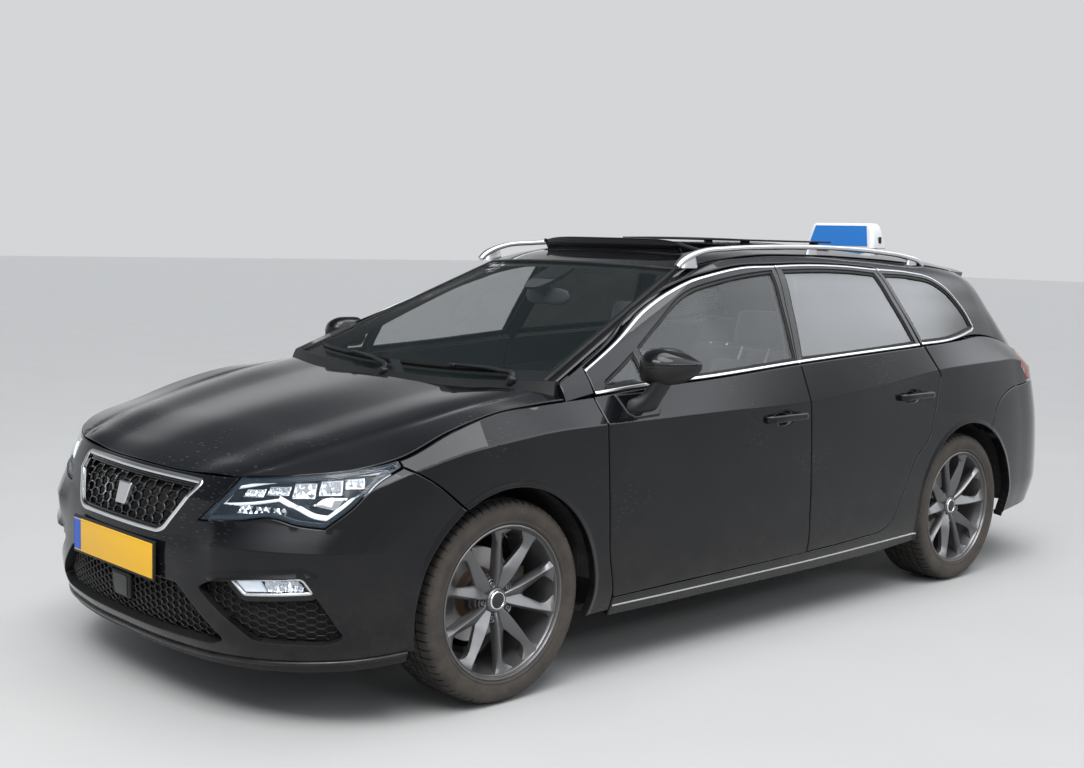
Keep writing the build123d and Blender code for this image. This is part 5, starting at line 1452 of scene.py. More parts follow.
def wholeWheel(name, turn):
    cup = lathe("cup", [(12.5, 53), (12.5, 62.5), (13.4, 63.6), (15.2, 63.6), (16.4, 62.2), (17.5, 52)], [wheelPaint],
                28)
    head = lathe("boltHead",
                 [(0.01, 52), (10.5, 52), (10.5, 54.5), (8.6, 56), (8.6, 63), (7.6, 64.6), (5.4, 64.6), (5.0, 60),
                  (0.01, 60)], [boltSteel], 6, 20)
    vane = roundedBox("vane", (0, -48, 112), (2.4, 9, 58), 0.5, turnedSteel, 1)
    valve = lathe("valve", [(0.01, 0), (3.4, 0), (3.4, 18), (2.6, 20), (2.6, 28), (2.0, 29), (0.01, 29)], [trimBlack],
                  12, 32)
    parts = [lathe(name + "Rim", rimProfile, [wheelPaint], 144),
             sharpen(around(name + "Spokes", spokePair("pair"), spokeLook["pairs"], wheelPaint, math.radians(turn)),
                     24),
             lathe(name + "Hub",
                   [(0.01, 30), (22, 30), (22, -20), (62, -20), (62, -6), (80, 34), (79, 44), (74, 51), (66, 54),
                    (40, 54), (38, 66), (34, 70.5), (31, 71), (29.5, 69), (0.01, 69)], [wheelPaint], 72),
             lathe(name + "Cap",
                   [(0.01, 66), (29, 66), (29, 70), (27.5, 71.6), (25, 72.2), (24.4, 71.2), (22, 72.4), (12, 73.6),
                    (0.01, 74)], [chrome, capBlack], 56, marks=lambda i, j: 0 if j < 5 else 1)]
    for piece, material in ((cup, wheelPaint), (head, boltSteel)):
        bolts = around(name + "Bolts", placed(piece, (0, 0, 56)), 5, material, math.radians(turn + 36))
        parts.append(sharpen(bolts, 28))
    parts += [lathe(name + "Disc",
                    [(40, -60), (149, -60), (150, -59), (150, -50.5), (146, -50), (146, -46), (150, -45.5),
                     (150, -37), (149, -36), (84, -36), (80, -32), (74, -20), (70, -18), (40, -18)],
                    [turnedSteel]),
              around(name + "Vanes", vane, 40, turnedSteel), placed(valve, (0, 82, 216), -28, "X")]
    return joined(name, parts)


for name, (x, y) in wheelPlaces.items():
    label = "".join(word.capitalize() for word in name.split("_"))
    centre = (x, y, axleHeight)
    turn = 180 if y < 0 else 0
    rim = placed(wholeWheel("wheel" + label, spokeLook["turn"][name]), centre, turn)
    fit(rim, "wheel_" + name, "wheel_grey", "wheel_" + name)
    fit(placed(wholeTyre("tyre" + label), centre, turn), "wheel_" + name, "tyre", "tyre_" + name)
print("wheels made")

# Glass at the front, trims, lamps, mirrors, handles, rails and sign


def sweep(name, path, profile, material, up=(0, 0, 1), scale=None, closed=False, angle=32):
    # A profile of side, up points carried along a path. up may be one direction or one for each point.
    p = np.asarray(path, float)
    way = unit(np.roll(p, -1, 0) - np.roll(p, 1, 0) if closed else np.gradient(p, axis=0))
    across = unit(np.cross(way, np.broadcast_to(np.asarray(up, float), p.shape)))
    up = np.cross(across, way)
    scale = [1.0] * len(p) if scale is None else scale
    rings = [[p[k] + across[k] * a * scale[k] + up[k] * b * scale[k] for a, b in profile] for k in range(len(p))]
    return sharpen(sheet(name, rings, [material], closedU=closed, closedV=True, caps=not closed), angle)


def solid(name, rings, material, angle=40):  # closed rings, one behind the other, with both ends capped
    return sharpen(sheet(name, rings, [material], closedV=True, caps=True), angle)


def roundProfile(wide, high, radius, count=3):  # a rounded rectangle about the path, as side, up points
    found = []
    for turn, (sx, sy) in enumerate(((1, 1), (-1, 1), (-1, -1), (1, -1))):
        for k in range(count + 1):
            a = math.radians(90 * turn + 90 * k / count)
            found.append((sx * (wide / 2 - radius) + radius * math.cos(a), sy * (high / 2 - radius)
                          + radius * math.sin(a)))
    return found


def softRound(angle, powerAcross, powerUp):  # a point of a squared circle
    c, s = math.cos(angle), math.sin(angle)
    return math.copysign(abs(c) ** powerAcross, c), math.copysign(abs(s) ** powerUp, s)


# Windscreen: how its edges run from the middle to their ends, and its black border
screenLook = {"foot": (1200, 696, 945), "footBack": 89, "footRise": 24, "head": (336, 514, 1342), "headBack": 50,
              "headRise": -12,
              "thick": 5.0, "border": 0.045, "topBorder": 0.05, "footBorder": 0.09}


def screenPoint(share, up, lift=0.0):
    look = screenLook
    square = share * share
    foot = np.array([look["foot"][0] - look["footBack"] * square, look["foot"][1] * share, look["foot"][2]
                     + look["footRise"] * square])
    head = np.array([look["head"][0] - look["headBack"] * square, look["head"][1] * share, look["head"][2]
                     + look["headRise"] * square])
    slope = head - foot
    normal = np.array([slope[2], 0, -slope[0]])
    bulge = 9 * math.sin(math.pi * min(max(up, 0), 1)) * (1 - square)
    return foot + slope * up + normal / np.linalg.norm(normal) * (lift + bulge)


def screenSheet(name, shares, ups, lift, thick, material):
    outer = [[screenPoint(a, u, lift) for u in ups] for a in shares]
    rings = [row + [screenPoint(a, u, lift - thick) for u in reversed(ups)] for row, a in zip(outer, shares)]
    return solid(name, rings, material)


shares, ups = list(np.linspace(-1, 1, 49)), list(np.linspace(0, 1, 25))
edge = screenLook["border"]
screenParts = [screenSheet("screenPane", shares, ups, 0, screenLook["thick"], screenGlass)]
for a0, a1, u0, u1 in ((-1, -1 + edge, 0, 1), (1 - edge, 1, 0, 1), (-1, 1, 1 - screenLook["topBorder"], 1),
                       (-1, 1, 0, screenLook["footBorder"]),
                       (-0.13, 0.13, 0.84, 0.96)):
    screenParts.append(screenSheet("screenBorder", list(np.linspace(a0, a1, 33)), list(np.linspace(u0, u1, 17)), -5.4,
                                   1.0, glossBlack))
fit(joined("windscreenPane", screenParts), "body", "screen_glass", "windscreen")
rim = [screenPoint(-1, u, -1) for u in np.linspace(0, 1, 30)] + [screenPoint(a, 1, -1)
                                                                 for a in np.linspace(-1, 1, 40)[1:]]
rim += [screenPoint(1, u, -1) for u in np.linspace(1, 0, 30)[1:]]
fit(sweep("screenSeal", rim, roundProfile(15, 9, 3), rubberSeal, (0.5, 0, 1)), "body", "trim_black")

# Panel at the foot of the windscreen, with its slots, and the two wipers
cowl = []
for share in np.linspace(-1.07, 1.07, 61):
    square = min(share * share, 1.2)
    screen = screenPoint(share, 0.0, -3)
    front = np.array([1262 - 56 * square - 46 * square * square, 712 * share, 903 + 2 * square])
    back = screen + (-34, 0, -10)
    lift = np.array([0, 0, 1.0])
    cowl.append([front, front + (-6, 0, 13), front * 0.6 + screen * 0.4 + lift * 6, screen + (10, 0, 4), screen
                 + (0, 0, 2), back,
                 back - lift * 12, front - lift * 8])
slats = [roundedBox("slat", (1196 - 70 * (y / 700) ** 2, y, 931 + 14 * (y / 700) ** 2), (26, 5, 7), 1.5, rubberSeal, 1)
         for y in range(-600, 601, 22)]
fit(joined("cowl", [solid("cowlPanel", cowl, trimBlack, 30)] + slats), "body", "trim_black", "scuttle")


def wiper(name, pivot, tip):
    blade = [screenPoint(a, 0.052, 9) for a in np.linspace(pivot - math.copysign(0.06, pivot - tip), tip, 40)]
    rubber = sweep(name + "Blade", blade, [(-1, -8), (1, -8), (2, 0), (5, 4), (5, 8), (0, 13), (-4, 6), (-3, 0)],
                   trimBlack,
                   (0.5, 0, 1))
    middle = pivot + (tip - pivot) * 0.52
    arm = [screenPoint(pivot, -0.02, 8), screenPoint(pivot, -0.005, 20),
           screenPoint(pivot + (tip - pivot) * 0.12, 0.02, 27),
           screenPoint(pivot + (tip - pivot) * 0.35, 0.045, 25), screenPoint(middle, 0.055, 22)]
    arm = smoothLine(arm, 12)
    size = [1.3 - 0.6 * k / (len(arm) - 1) for k in range(len(arm))]
    bar = sweep(name + "Arm", arm, roundProfile(15, 9, 3, 2), trimBlack, (0.5, 0, 1), size)
    hub = lathe(name + "Cap", [(0.01, -14), (16, -14), (16, 4), (13, 9), (8, 11), (0.01, 11)], [trimBlack], 24, 35)
    clip = roundedBox(name + "Clip", tuple(screenPoint(middle, 0.054, 20)), (22, 34, 12), 4, trimBlack)
    return [rubber, bar, placed(hub, screenPoint(pivot, -0.015, 12), 62, "X"), clip]


fit(joined("wiperPair", wiper("leftWiper", 0.84, 0.0) + wiper("rightWiper", -0.04, -0.84)), "body", "trim_black",
    "wipers")

# Inner mirror and sensor housing at the top of the windscreen
sensor = []
for k, (share, half) in enumerate(((0.985, 46), (0.96, 62), (0.9, 68), (0.82, 62), (0.77, 44), (0.755, 22))):
    low = -8 - 26 * math.sin(math.pi * (k + 0.4) / 6)
    centre = screenPoint(0, share, 0)
    sensor.append([centre + (0, y, 0) + np.array([0.42, 0, 0.9]) * z for y, z in
                   ((-half, -8), (-half * 0.85, low * 0.8), (-half * 0.4, low), (half * 0.4, low),
                    (half * 0.85, low * 0.8), (half, -8))])
sensorBox = solid("sensorHousing", sensor, cabinPlastic, 50)
place = screenPoint(0, 0.79, 0)
stem = smoothLine([place + (0, 0, -14), place + (-28, 0, -34), place + (-52, 0, -48)], 8)
stem = sweep("mirrorStem", stem, roundProfile(20, 14, 6), cabinPlastic, (0, 1, 0))
rings = []
for y in np.linspace(-1, 1, 25):
    grow = (1 - abs(y) ** 5) ** 0.5 if abs(y) < 1 else 0.05
    centre = place + (-64 - 10 * y * y, 122 * y, -56)
    rings.append([centre + (14 * c * max(grow, 0.3), 0, 33 * s * max(grow, 0.12)) for c, s in
                  (softRound(a, 0.6, 0.7) for a in np.linspace(0, 2 * math.pi, 24, endpoint=False))])
innerGlass = roundedBox("innerMirrorGlass", tuple(place + (-77.5, 0, -56)), (4, 214, 46), 1.6, chrome)
innerParts = [sensorBox, stem, solid("innerMirrorCase", rings, cabinPlastic), innerGlass]
fit(joined("innerMirror", innerParts), "body", "interior_plastic")
print("windscreen, wipers and inner mirror made")

# Door mirrors: y, then the front and rear edges and the lowest and highest points of each section
mirrorLook = {"split": 1022, "splitRise": 0.06, "splitMiddle": 930, "paneBack": 689.5, "paneFront": 697}
mirrorSections = [
    (842, 775, 716, 988, 1036), (846, 805, 704, 974, 1052), (856, 832, 698, 963, 1068), (876, 848, 695, 957, 1080),
                  (905, 853, 692, 956, 1081),
    (935, 846, 690, 960, 1074), (960, 828, 690, 970, 1064), (982, 800, 690, 984, 1054), (998, 769, 691, 998, 1045),
                  (1007, 742, 692, 1009, 1039),
    (1012, 718, 696, 1018, 1033),
]


def splitHeight(y):  # where the case's paint meets its black lower half
    return mirrorLook["split"] + (y - mirrorLook["splitMiddle"]) * mirrorLook["splitRise"]


def mirrorCase():
    rings = []
    for y, front, rearX, low, high in mirrorSections:
        ring = []
        for a in np.linspace(0, 2 * math.pi, 44, endpoint=False):
            c, s = softRound(a, 0.85 if math.cos(a) > 0 else 0.3, 0.78)
            ring.append(((front + rearX) / 2 + (front - rearX) / 2 * c, y, (low + high) / 2 + (high - low) / 2 * s))
        rings.append(ring)
    shell = sheet("mirrorShell", rings, [paint, trimBlack], closedV=True, caps=True)
    for polygon in shell.data.polygons:
        centre = polygon.center / mm
        polygon.material_index = 1 if centre.z < splitHeight(centre.y) or centre.x < 700 else 0
    sharpen(shell, 40)
    seamLine = [(ring[0][0] - 1, ring[0][1], splitHeight(ring[0][1])) for ring in rings[1:-1]]
    seam = sweep("mirrorSeam", seamLine, roundProfile(4, 3, 1, 2), rubberSeal)
    back, face, pane = mirrorLook["paneBack"], mirrorLook["paneFront"], []
    for f in np.linspace(-1, 1, 15):
        half = (42 - 8 * f) * (1 - abs(f) ** 4) ** 0.5 if abs(f) < 1 else 8
        y = 920 + 62 * f
        pane.append([(back, y, 1018 - half), (back, y, 1018 + half), (face, y, 1018 + half), (face, y, 1018 - half)])
    neck = []
    for f in np.linspace(0, 1, 13):
        turn = math.radians(90 * f ** 0.8)
        centre = np.array([826 - 40 * f, 868 + 52 * f, 890 + 84 * f ** 1.4])
        wide, high = 72 - 30 * math.sin(math.pi * min(f * 0.75, 0.5)), 31 - 9 * math.sin(math.pi * min(f, 0.6))
        ring = []
        for a in np.linspace(0, 2 * math.pi, 32, endpoint=False):
            c, s = softRound(a, 0.7, 0.7)
            ring.append(centre + np.array([c * wide, 0, 0]) + np.array([0, -math.sin(turn), math.cos(turn)]) * s * high)
        neck.append(ring)
    return joined("mirrorSide",
                  [shell, seam, solid("mirrorPane", pane, chrome), solid("mirrorNeck", neck, trimBlack, 45)])


for side, sign in sides.items():
    made = mirrorCase()
    loop = rounded(lowerSkin.find([(920, 927), (736, 930), (742, 872), (760, 853), (868, 849), (902, 862)]), 6)
    if sign < 0:
        made, loop = mirrored(made), otherSide(loop, lowerSkin.half)
    pad = panel("mirrorPad", lowerSkin, None, [glossBlack], loops=loop, gap=0, recess=-5, depth=9, roll=(4, 7), step=14)
    fit(joined("doorMirror" + side.capitalize(), [made, pad]), "front_door_" + side, "paint", "door_mirror_" + side)

# Door handles: front x, rear x and middle height, each over its bowl
for door, (frontX, rearX, middleZ) in handlePlaces.items():
    skinY = 893.5 if door == "front_door" else 892
    path = smoothLine([(frontX - 3, skinY - 7, middleZ - 1), (frontX - 4, skinY + 8, middleZ),
                       (frontX - 15, skinY + 20, middleZ + 1),
                   (frontX - 45, skinY + 25, middleZ + 2), ((frontX + rearX) / 2, skinY + 26, middleZ + 3),
                   (rearX + 60, skinY + 25, middleZ + 2), (rearX + 15, skinY + 19, middleZ + 1),
                       (rearX + 5, skinY + 8, middleZ),
                   (rearX + 4, skinY - 7, middleZ)], 7)
    outward = [(0, 1, 0.01)] * len(path)
    for index, point in enumerate(path):
        if point[0] > frontX - 14 or point[0] < rearX + 14:
            outward[index] = (1 if point[0] > (frontX + rearX) / 2 else -1, 0.35, 0)
    for side, sign in sides.items():
        grip = sweep("handleGrip", path, roundProfile(27, 15, 7, 4), paint, outward)
        lock = roundedBox("handleLock", (rearX + 26, skinY + 6, middleZ), (44, 24, 30), 8, paint)
        made = joined(door.replace("_", "") + "Handle" + side.capitalize(), [grip, lock])
        fit(made if sign > 0 else mirrored(made), door + "_" + side, "paint")

# Bright strips round the side windows, and the one along the sill
stripLook = {"belt": 9.0, "top": 6.5, "sill": 7.0}


def strip(name, body, line, place, skin=upperSkin, recess=-2.6):
    pair(name + "Strip", body, "rail_metal", skin, band(smoothLine(line, 14), stripLook[place]), [satinSilver], gap=0,
         recess=recess, depth=7, roll=(1.4, 2.6), step=200)


def lowered(points, amount):  # an x, z line moved down
    return upperSkin.find([(x, z - amount) for x, z in points])


quarterBelt = [(-936, 1034), (-1173, 1041), (-1411, 1066), (-1462, 1074), (-1480, 1082)]
quarterTop = [(-852, 1336), (-1091, 1324), (-1268, 1296), (-1376, 1238), (-1452, 1156), (-1484, 1088)]
sillFoot = [(940, 232), (600, 230), (200, 232), (-200, 236), (-600, 246), (-850, 254)]
strip("frontBelt", "front_door", beltOnUpper(978, -60, 4), "belt")
strip("rearBelt", "rear_door", beltOnUpper(-64, -912, 4), "belt")
strip("quarterBelt", "body", upperSkin.find(quarterBelt), "belt")
strip("frontTop", "front_door", lowered(frontDoorTop, 10), "top")
strip("rearTop", "rear_door", lowered(rearDoorTop, 9), "top")
strip("quarterTop", "body", upperSkin.find(quarterTop), "top")
strip("sill", "body", lowerSkin.find(sillFoot), "sill", lowerSkin, -1.2)
print("mirrors, handles and strips made")

# Roof rails, with their feet
railLine = [(322, 1338), (296, 1358), (262, 1374), (190, 1395), (20, 1410), (-180, 1418), (-400, 1422), (-600, 1422),
            (-1000, 1407), (-1200, 1388),
            (-1280, 1372), (-1318, 1352)]
path = smoothLine([(x, 553, z) for x, z in railLine], 18)
ends = np.minimum(np.abs(path[:, 0] - railLine[0][0]), np.abs(path[:, 0] - railLine[-1][0]))
swell = 1 + 0.25 * np.clip(1 - ends / 160, 0, 1) * np.clip(ends / 30, 0, 1)
railSide = [sweep("railBar", path, roundProfile(24, 20, 8, 4), satinSilver, (0, 0, 1), swell, angle=50)]
for x, top in ((250, 1376), (-500, 1415), (-1240, 1380)):
    low = 1352 if x == -500 else 1335
    foot = [[(x + (46 - 14 * f) * c, 552 + (10 - 1.5 * f) * s, low + (top - low) * f) for c,
             s in roundProfile(2, 2, 0.7, 3)]
            for f in np.linspace(0, 1, 6)]
    railSide.append(solid("railFoot", foot, satinSilver, 45))
fit(bothSides("roofRailPair", railSide), "body", "rail_metal", "roof_rails")

# Sliding roof pane, its seal, guides and shade, and the wind deflector
roofGlass = glassFinish("roofGlass", (0.004, 0.005, 0.006), 0.93)
paneRings = []
for x in np.linspace(-900, -345, 15):
    end = min(x + 900, -345 - x)
    half = 370 - 22 * max(0, 1 - end / 30) ** 2
    row = [(x, y, 1452 - 6 * (y / 370) ** 2 * 0.8) for y in np.linspace(-half, half, 25)]
    paneRings.append(row + [(x, y, z - 5) for x, y, z in reversed(row)])
paneLoop = [(x, y, 1444.5) for x,
            y in rounded(roundCorners([(-900, -368), (-346, -368), (-346, 368), (-900, 368)], 26), 14)]
paneParts = [solid("slidingPane", paneRings, roofGlass),
             sweep("paneSeal", paneLoop, roundProfile(9, 7, 2.5, 2), rubberSeal, closed=True)]
paneParts += [roundedBox("guide", (x, y, 1432), (36, 26, 22), 4, trimBlack) for x in (-860, -385) for y in (-300, 300)]
fit(joined("sunroofGlass", paneParts), "body", "dark_glass", "sunroof_pane")
channel = [sweep("roofChannel", [(x, y, roofSkin.at([x], [y], 17)[0][2]) for x in range(125, -331, -30)],
                 roundProfile(26, 12, 3, 2),
                 trimBlack) for y in (-366, 366)]
holeSeal = sweep("roofOpeningSeal", [roofSkin.at([x], [y], 3)[0] for x, y in sunroofHole], roundProfile(11, 8, 3, 2),
                 rubberSeal, closed=True)
fit(joined("roofOpeningFrame", channel + [holeSeal]), "body", "trim_black")
deflector = []
for y in np.linspace(-375, 375, 41):
    f = y / 375
    edgeFall = 16 * abs(f) ** 6
    x = 148 - 34 * f * f
    deflector.append([(x - 16, y, 1388), (x - 3, y, 1412), (x, y, 1434 - edgeFall), (x - 3, y, 1441 - edgeFall),
                      (x - 9, y, 1442 - edgeFall),
                      (x - 13, y, 1437 - edgeFall), (x - 11, y, 1412), (x - 24, y, 1388)])
deflectorParts = [solid("deflectorBlade", deflector, glossBlack)]
for y in (-372, 372):
    arm = smoothLine([(120, y, 1424), (60, y, 1412), (-55, y, 1393)], 14)
    deflectorParts.append(sweep("deflectorArm", arm, roundProfile(9, 15, 3, 2), trimBlack))
for y in np.arange(-366, 367, 6.0):
    thread = roundedBox("deflectorThread", (137 - 34 * (y / 375) * (y / 375), y, 1404), (2, 1.4, 40), 0.4, rubberSeal,
                        1)
    deflectorParts.append(thread)
fit(joined("roofWindDeflector", deflectorParts), "body", "trim_black", "wind_deflector")

# Taxi sign, its faces blank
signLook = {"x": -1522, "base": (124, 396), "top": (72, 340), "height": (1421, 1540), "face": (0.03, 0.2, 0.62)}
signBlue = plasticFinish("signBlueFace", signLook["face"], 0.25, 1500, 0.05, 0.08)
(baseDeep, baseWide), (topDeep, topWide), (signLow, signHigh) = signLook["base"], signLook["top"], signLook["height"]
signRings = []
for f in (0, 0.015, 0.05, 0.3, 0.6, 0.85, 0.93, 0.975, 1.0):
    soft = 9 * max(0, (f - 0.85) / 0.15) ** 2.2
    deep = baseDeep + (topDeep - baseDeep) * f - 2 * soft - (3 if f == 0 else 0)
    wide = baseWide + (topWide - baseWide) * f - 2 * soft - (3 if f == 0 else 0) + 14 * math.sin(math.pi * f) * 0.6
    signRings.append([(signLook["x"] + a, b, signLow + (signHigh - signLow) * f) for a,
                      b in roundProfile(deep, wide, min(20, deep * 0.3), 6)])
signParts = [solid("signHousing", signRings, signWhite, 45)]
for way in (1, -1):
    rows = []
    for f in np.linspace(0.09, 0.9, 9):
        x = signLook["x"] + way * ((baseDeep + (topDeep - baseDeep) * f) / 2 + 0.3)
        half = (baseWide + (topWide - baseWide) * f) / 2 - 27
        rows.append([(x, y, signLow + (signHigh - signLow) * f) for y in np.linspace(-half, half, 12)])
    faceRings = [[(x + way * 1.2, y, z) for x, y, z in row] + [(x - way * 3, y, z) for x, y, z in reversed(row)]
                 for row in rows]
    signParts.append(solid("signFace", faceRings, signBlue))
for y in (-194, 194):
    signParts.append(roundedBox("signPlug", (signLook["x"] - 4, y, 1462), (22, 6, 30), 2.5, trimBlack))
signParts.append(roundedBox("signFoot", (signLook["x"], 0, 1410), (112, 306, 26), 8, rubberSeal))
fit(joined("roofSign", signParts), "body", "sign_white", "taxi_sign")
print("roof pieces made")

# Tail lamps, spoiler and rear plate
lampRed = glassFinish("lampRed", (0.3, 0.004, 0.005), 0.42, 0.02, 1.5)
lampGlow = Finish("tailLightGuide", Base_Color=(0.42, 0.012, 0.012, 1), Roughness=0.3,
                  Emission_Color=(0.9, 0.02, 0.015, 1), Emission_Strength=0.12)
ribbed = lampGlow.calc("SINE", lampGlow.axis("Z") * 2600) * 0.5 + 0.5
lampGlow.set(Roughness=0.22 + ribbed * 0.2, Normal=lampGlow.bump(ribbed, 0.4, 0.0006))
tailGuide = lampGlow.material
splitTop, splitLow = lowerSkin.find([(-2090, 641, 945)])[0], lowerSkin.find([(-2147, 617, 839)])[0]
innerTop = lowerSkin.find([(388, 938)], "rear")[0][0]
outerLamp = rounded(lowerSkin.find([(-1834, 839), (-1770, 905), (-1792, 948)])
                    + columnLine(lowerSkin, beltLine, lowU(-1830, 1000), splitTop[0], -waist) + [splitTop, splitLow], 9)
innerLamp = rounded([splitLow] + lowerSkin.find([(600, 842), (388, 842), (372, 870), (388, 938)], "rear")
                    + columnLine(lowerSkin, beltLine, innerTop, splitTop[0], -waist)[1:] + [splitTop], 9)


def tailLamp(name, loop, bright):
    parts = [plate(name + "Floor", lowerSkin, inset(loop, 3.5), lampDark, 36, 3, step=26),
             walls(name + "Wall", lowerSkin, inset(loop, 3.5), 3, 37, lampDark),
             panel(name + "Guide", lowerSkin, None, [tailGuide], [inset(loop, 21)], loops=inset(loop, 10), gap=0,
                   recess=12, depth=8,
                   roll=(1.5, 2.5), step=200),
             facets(name + "Mirrors", inset(loop, 26), 24, (17, 13), 7, bright, 21)]
    return [plate(name + "Lens", lowerSkin, loop, lampRed, 1.0, 3.0, gap=2.2, roll=(1.2, 4), step=26)] + parts


fit(bothSides("outerTailLamps", tailLamp("outerTail", outerLamp, reflector)), "body", "lamp_red", "rear_lamps")
fit(bothSides("innerTailLamps", tailLamp("innerTail", innerLamp, tailGuide)), "tailgate", "lamp_red", "tailgate_lamps")
spoilerHalf = [(-1641, 0), (-1641, 506), (-1700, 474), (-1780, 466), (-1850, 452), (-1861, 436), (-1866, 0)]
spoilerLine = rounded(spoilerHalf + reflected(spoilerHalf[1:-1], part=1), 11)
spoilerMade = panel("spoilerSkin", roofSkin, None, [paint, trimBlack], loops=spoilerLine, depth=24, roll=(2.5, 6))
stopLamp = roundedBox("stopLamp", (-1857, 0, 1349), (8, 330, 9), 3, tailGuide)
fit(joined("tailSpoiler", [spoilerMade, stopLamp]), "tailgate", "paint")
fit(flatPlate("rearPlateFace", -2258, 745, -1), "tailgate", "plate_yellow", "rear_plate")
plateLamps = [roundedBox("plateLamp", (-2247, y, 812), (22, 70, 10), 4, lampDark) for y in (-120, 120)]
gateGrip = roundedBox("gateGrip", (-2240, 0, 826), (26, 400, 16), 6, glossBlack)
fit(joined("plateLampBar", plateLamps + [gateGrip]), "tailgate", "trim_black")
low = rounded(lowerSkin.find([(-2196, 552, 420), (-2176, 596, 425), (-2176, 596, 452), (-2196, 552, 450)]), 6)
# The bumper reflectors take the tail lamps' glowing finish: a painted red glow on parts that are no lamps.
glowingReflector = plate("bumperReflector", lowerSkin, low, tailGuide, -1, 4, roll=(1, 2))
fit(bothSides("bumperReflectors", [glowingReflector]), "body", "lamp_red")
print("tail lamps, spoiler and plate made")

# Linings that close each wheel arch out to the body panel: centre x, radius, inner y, outer y, first and last angle
archParts = []
for centreX, radius, inY, outY, start, end in ((1416, 371, 818, 862, 3, 177), (-1220, 381, 806, 852, -1, 181)):
    rings = []
    for a in np.radians(np.linspace(start, end, 48)):
        rings.append([(centreX + r * math.cos(a), y, axleHeight + r * math.sin(a))
                      for r, y in ((radius, inY), (radius, outY), (radius + 3, outY), (radius + 3, inY))])
    archParts.append(solid("archEdge", rings, liningBlack))
fit(bothSides("archEdgeLinings", archParts), "body", "trim_black")

# The side of the windscreen and the seals and jambs behind the doors' gaps
for name, sign in (("Left", 1), ("Right", -1)):
    rings = []
    for u in np.linspace(0.0, 1.0, 36):
        edgePoint, inPoint = screenPoint(sign, u), screenPoint(sign * 0.985, u)
        outer = edgePoint + (0, sign * 34, -16)
        rings.append([inPoint + (0, 0, 2), edgePoint + (0, sign * 4, 1), outer, outer + (0, 0, -8), edgePoint
                      + (0, 0, -12),
                      inPoint + (0, 0, -8)])
    fit(solid("pillarTrim" + name, rings, glossBlack, 45), "body", "trim_black")
for name, line, skin, recess, width in (
        ("frontJamb", [(1004, 890), (1004, 840), (992, 600), (978, 394), (956, 282)], lowerSkin, 64, 66),
        ("middleJamb", doorSplit[3:], lowerSkin, 64, 70),
        ("sillJamb", [(930, 276), (300, 279), (-98, 284), (-456, 296)], lowerSkin, 64, 40),
        ("rearJamb", doorEnd[2:] + [(-800, 560), (-720, 430), (-674, 361), (-640, 318)], lowerSkin, 64, 60),
        ("middlePost", [(-150, 1322), (-124, 1180), (-98, 1060), (-70, 1000)], upperSkin, 31, 90),
        ("rearPost", [(-846, 1310), (-880, 1178), (-922, 1050)], upperSkin, 31, 80)):
    pair(name, "body", "trim_black", skin, band(smoothLine(skin.find(line), 16), width), [trimBlack], gap=0,
         recess=recess,
         depth=5, roll=(1, 2), step=60)
print("seals and jambs made")

# Seats: pads of cloth over foam, on rails
padLook = {"voxel": 12.0, "pressure": 4.0, "frames": 15, "limit": 22.0, "fill": 0.75}
seatY = 365
padPlaces = []  # name, middle, size, tilt, how far the sides are raised, and how far they come forward
for side, sign in (("Left", 1), ("Right", -1)):
    padPlaces += [("frontCushion" + side, (-20, sign * seatY, 386), (496, 492, 118), 0, 30, 0),
                  ("frontBackrest" + side, (-295, sign * seatY, 666), (105, 472, 632), -20, 0, 34),
                  ("frontHeadrest" + side, (-435, sign * seatY, 1076), (80, 244, 160), -14, 0, 0)]
padPlaces += [("rearCushion", (-690, 0, 400), (462, 1050, 140), 0, 8, 0),
              ("rearBackrest", (-960, 0, 700), (110, 1040, 552), -18, 0, 12)]
padPlaces += [("rearHeadrest%d" % k, (-1070, y, 1010), (74, 224, 124), -12, 0, 0) for k, y in enumerate((-370, 0, 370))]


def placesOf(mesh):
    found = np.empty(len(mesh.vertices) * 3)
    mesh.vertices.foreach_get("co", found)
    return found.reshape(-1, 3)


def padStart(name, centre, size, tilt, raised, forward):
    made = roundedBox(name, (0, 0, 0), size, min(size) * 0.36, seatCloth, 5)
    even = made.modifiers.new("even", "REMESH")
    even.mode, even.voxel_size = "VOXEL", padLook["voxel"] * mm
    p = placesOf(applied(made).data) / mm
    u = np.clip((np.abs(p[:, 1]) / size[1] * 2 - 0.52) / 0.34, 0, 1)
    wing = u * u * (3 - 2 * u)
    p[:, 2] += raised * wing * (p[:, 2] > 0) - 14 * (raised > 0) * np.clip(p[:, 0] / size[0] * 2, 0, 1) ** 3
    p[:, 0] += forward * wing * (p[:, 0] > 0) * np.clip(1.15 - np.abs(p[:, 2] / size[2] * 2 + 0.25), 0, 1)
    if forward > 20:
        p[:, 1] *= 1 - 0.16 * np.clip(p[:, 2] / size[2] * 2, 0, 1) ** 2
    angle = math.radians(tilt)
    x = p[:, 0] * math.cos(angle) + p[:, 2] * math.sin(angle)
    z = -p[:, 0] * math.sin(angle) + p[:, 2] * math.cos(angle)
    p = np.stack([x, p[:, 1], z], 1) + centre
    made.data.vertices.foreach_set("co", (p * mm).ravel())
    return made


